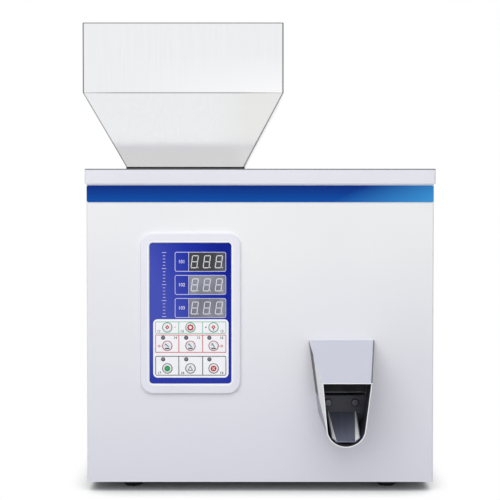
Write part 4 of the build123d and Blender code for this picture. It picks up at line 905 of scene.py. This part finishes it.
keyField()
keyFrames()
keyRings()
displayFrames()
digits()
keyIcons()
sideMarks()
panelScale()
left, centre, right = keyGrid["columns"]
numerals("print_key_numbers", [
    ("11", left - 8.4, 161.3), ("12", centre - 8.3, 161.3), ("13", right + 8.3, 161.3),
    ("14", left + 7.9, 154.8), ("15", centre + 7.9, 154.8), ("16", right + 7.9, 154.8),
    ("17", left - 8.0, 119.4), ("18", centre - 8.0, 119.4), ("19", right + 8.0, 119.4),
], 3.6, "black", filmFront - 0.05 * mm)
numerals("print_display_numbers", [
    ("101", panelX - 8.7, 230.8), ("102", panelX - 8.7, 207.7), ("103", panelX - 8.7, 184.6),
], 4.6, "soft white", filmFront)
print("panel printed")


# Floor, light and camera
def studio():
    setup = {"floor": 6.0, "key": 14.6, "keySpot": (-0.20, -1.10, 0.95), "keySize": 1.7, "rim": 5.0, "world": 0.50,
             "side": 0.30}
    bm = bmesh.new()
    bmesh.ops.create_grid(bm, x_segments=1, y_segments=1, size=setup["floor"] / 2)
    mesh = bpy.data.meshes.new("floor")
    bm.to_mesh(mesh)
    bm.free()
    floor = bpy.data.objects.new("floor", mesh)
    bpy.context.scene.collection.objects.link(floor)
    material, start = paint("white floor")
    shade = start.node("BsdfDiffuse", None, {"Color": rgb(0.44, 0.45, 0.47)})
    white = start.node("Emission", None, {"Color": rgb(1, 1, 1), "Strength": 1.0})
    seen = start.sum("MAXIMUM", start.node("LightPath", out=0), start.node("LightPath", out=3))
    seen = start.sum("MAXIMUM", seen, start.node("LightPath", out=6))
    covered = start.node("AmbientOcclusion", {"samples": 12}, {"Distance": 0.05}, out=1)
    factor = seen * band(start, covered, 0.30, 0.74)
    mix = start.node("MixShader", None, {0: factor, 1: shade, 2: white})
    start.node("OutputMaterial", None, {"Surface": mix})
    mesh.materials.append(material)

    # white to the eye, and in metal and glass too, where the sides of the room fall off to grey
    world = bpy.data.worlds.new("studio")
    world.use_nodes = True
    world.node_tree.nodes.clear()
    sky = Wire(world.node_tree)
    camera = sky.node("LightPath", out=0)
    glossy = sky.node("LightPath", out=3)
    through = sky.node("LightPath", out=6)
    toward = sky.node("SeparateXYZ", None, {0: sky.node("TexCoord", out=0)}, out=0)
    sideways = band(sky, sky.node("Math", {"operation": "ABSOLUTE"}, {0: toward}), 0.55, 0.95)
    mirrored = glossy * (1.0 - sideways * (1.0 - setup["side"]))
    direct = sky.sum("MAXIMUM", camera, sky.sum("MAXIMUM", through, mirrored))
    plain = (1.0 - camera) * (1.0 - through) * (1.0 - glossy)
    light = sky.node("Background", None, {"Color": rgb(1.0, 1.0, 1.0), "Strength": direct + plain * setup["world"]})
    sky.node("OutputWorld", None, {"Surface": light})
    bpy.context.scene.world = world

    lamps = {
        "key": (setup["keySpot"], setup["keySize"], setup["key"]),
        "rim": ((0.9, 1.2, 1.1), 0.9, setup["rim"]),
    }
    for name, (spot, size, power) in lamps.items():
        data = bpy.data.lights.new(name, "AREA")
        data.energy = power
        data.size = size
        lamp = bpy.data.objects.new(name, data)
        lamp.location = spot
        lamp.visible_glossy = False  # the bright room makes the reflections
        lamp.rotation_euler = (Vector((0, 0, 0.22)) - Vector(spot)).to_track_quat("-Z", "Y").to_euler()
        bpy.context.scene.collection.objects.link(lamp)


def lookFrom():
    # nearly level view from one metre in front of the case, a little under the lid, with the frame let down
    seat = {"x": -0.0125, "y": -1.075, "z": 0.308, "lens": 72.2, "tilt": 1.2, "down": 0.0894}
    data = bpy.data.cameras.new("camera")
    data.lens = seat["lens"]
    data.sensor_width = 36.0
    data.shift_y = -seat["down"]
    data.clip_start = 0.05
    data.clip_end = 50.0
    camera = bpy.data.objects.new("camera", data)
    camera.location = (seat["x"], seat["y"], seat["z"])
    camera.rotation_euler = (math.radians(90 - seat["tilt"]), 0, 0)
    bpy.context.scene.collection.objects.link(camera)
    bpy.context.scene.camera = camera


studio()
lookFrom()
bpy.context.scene.view_settings.view_transform = "Standard"
print("studio and camera set")
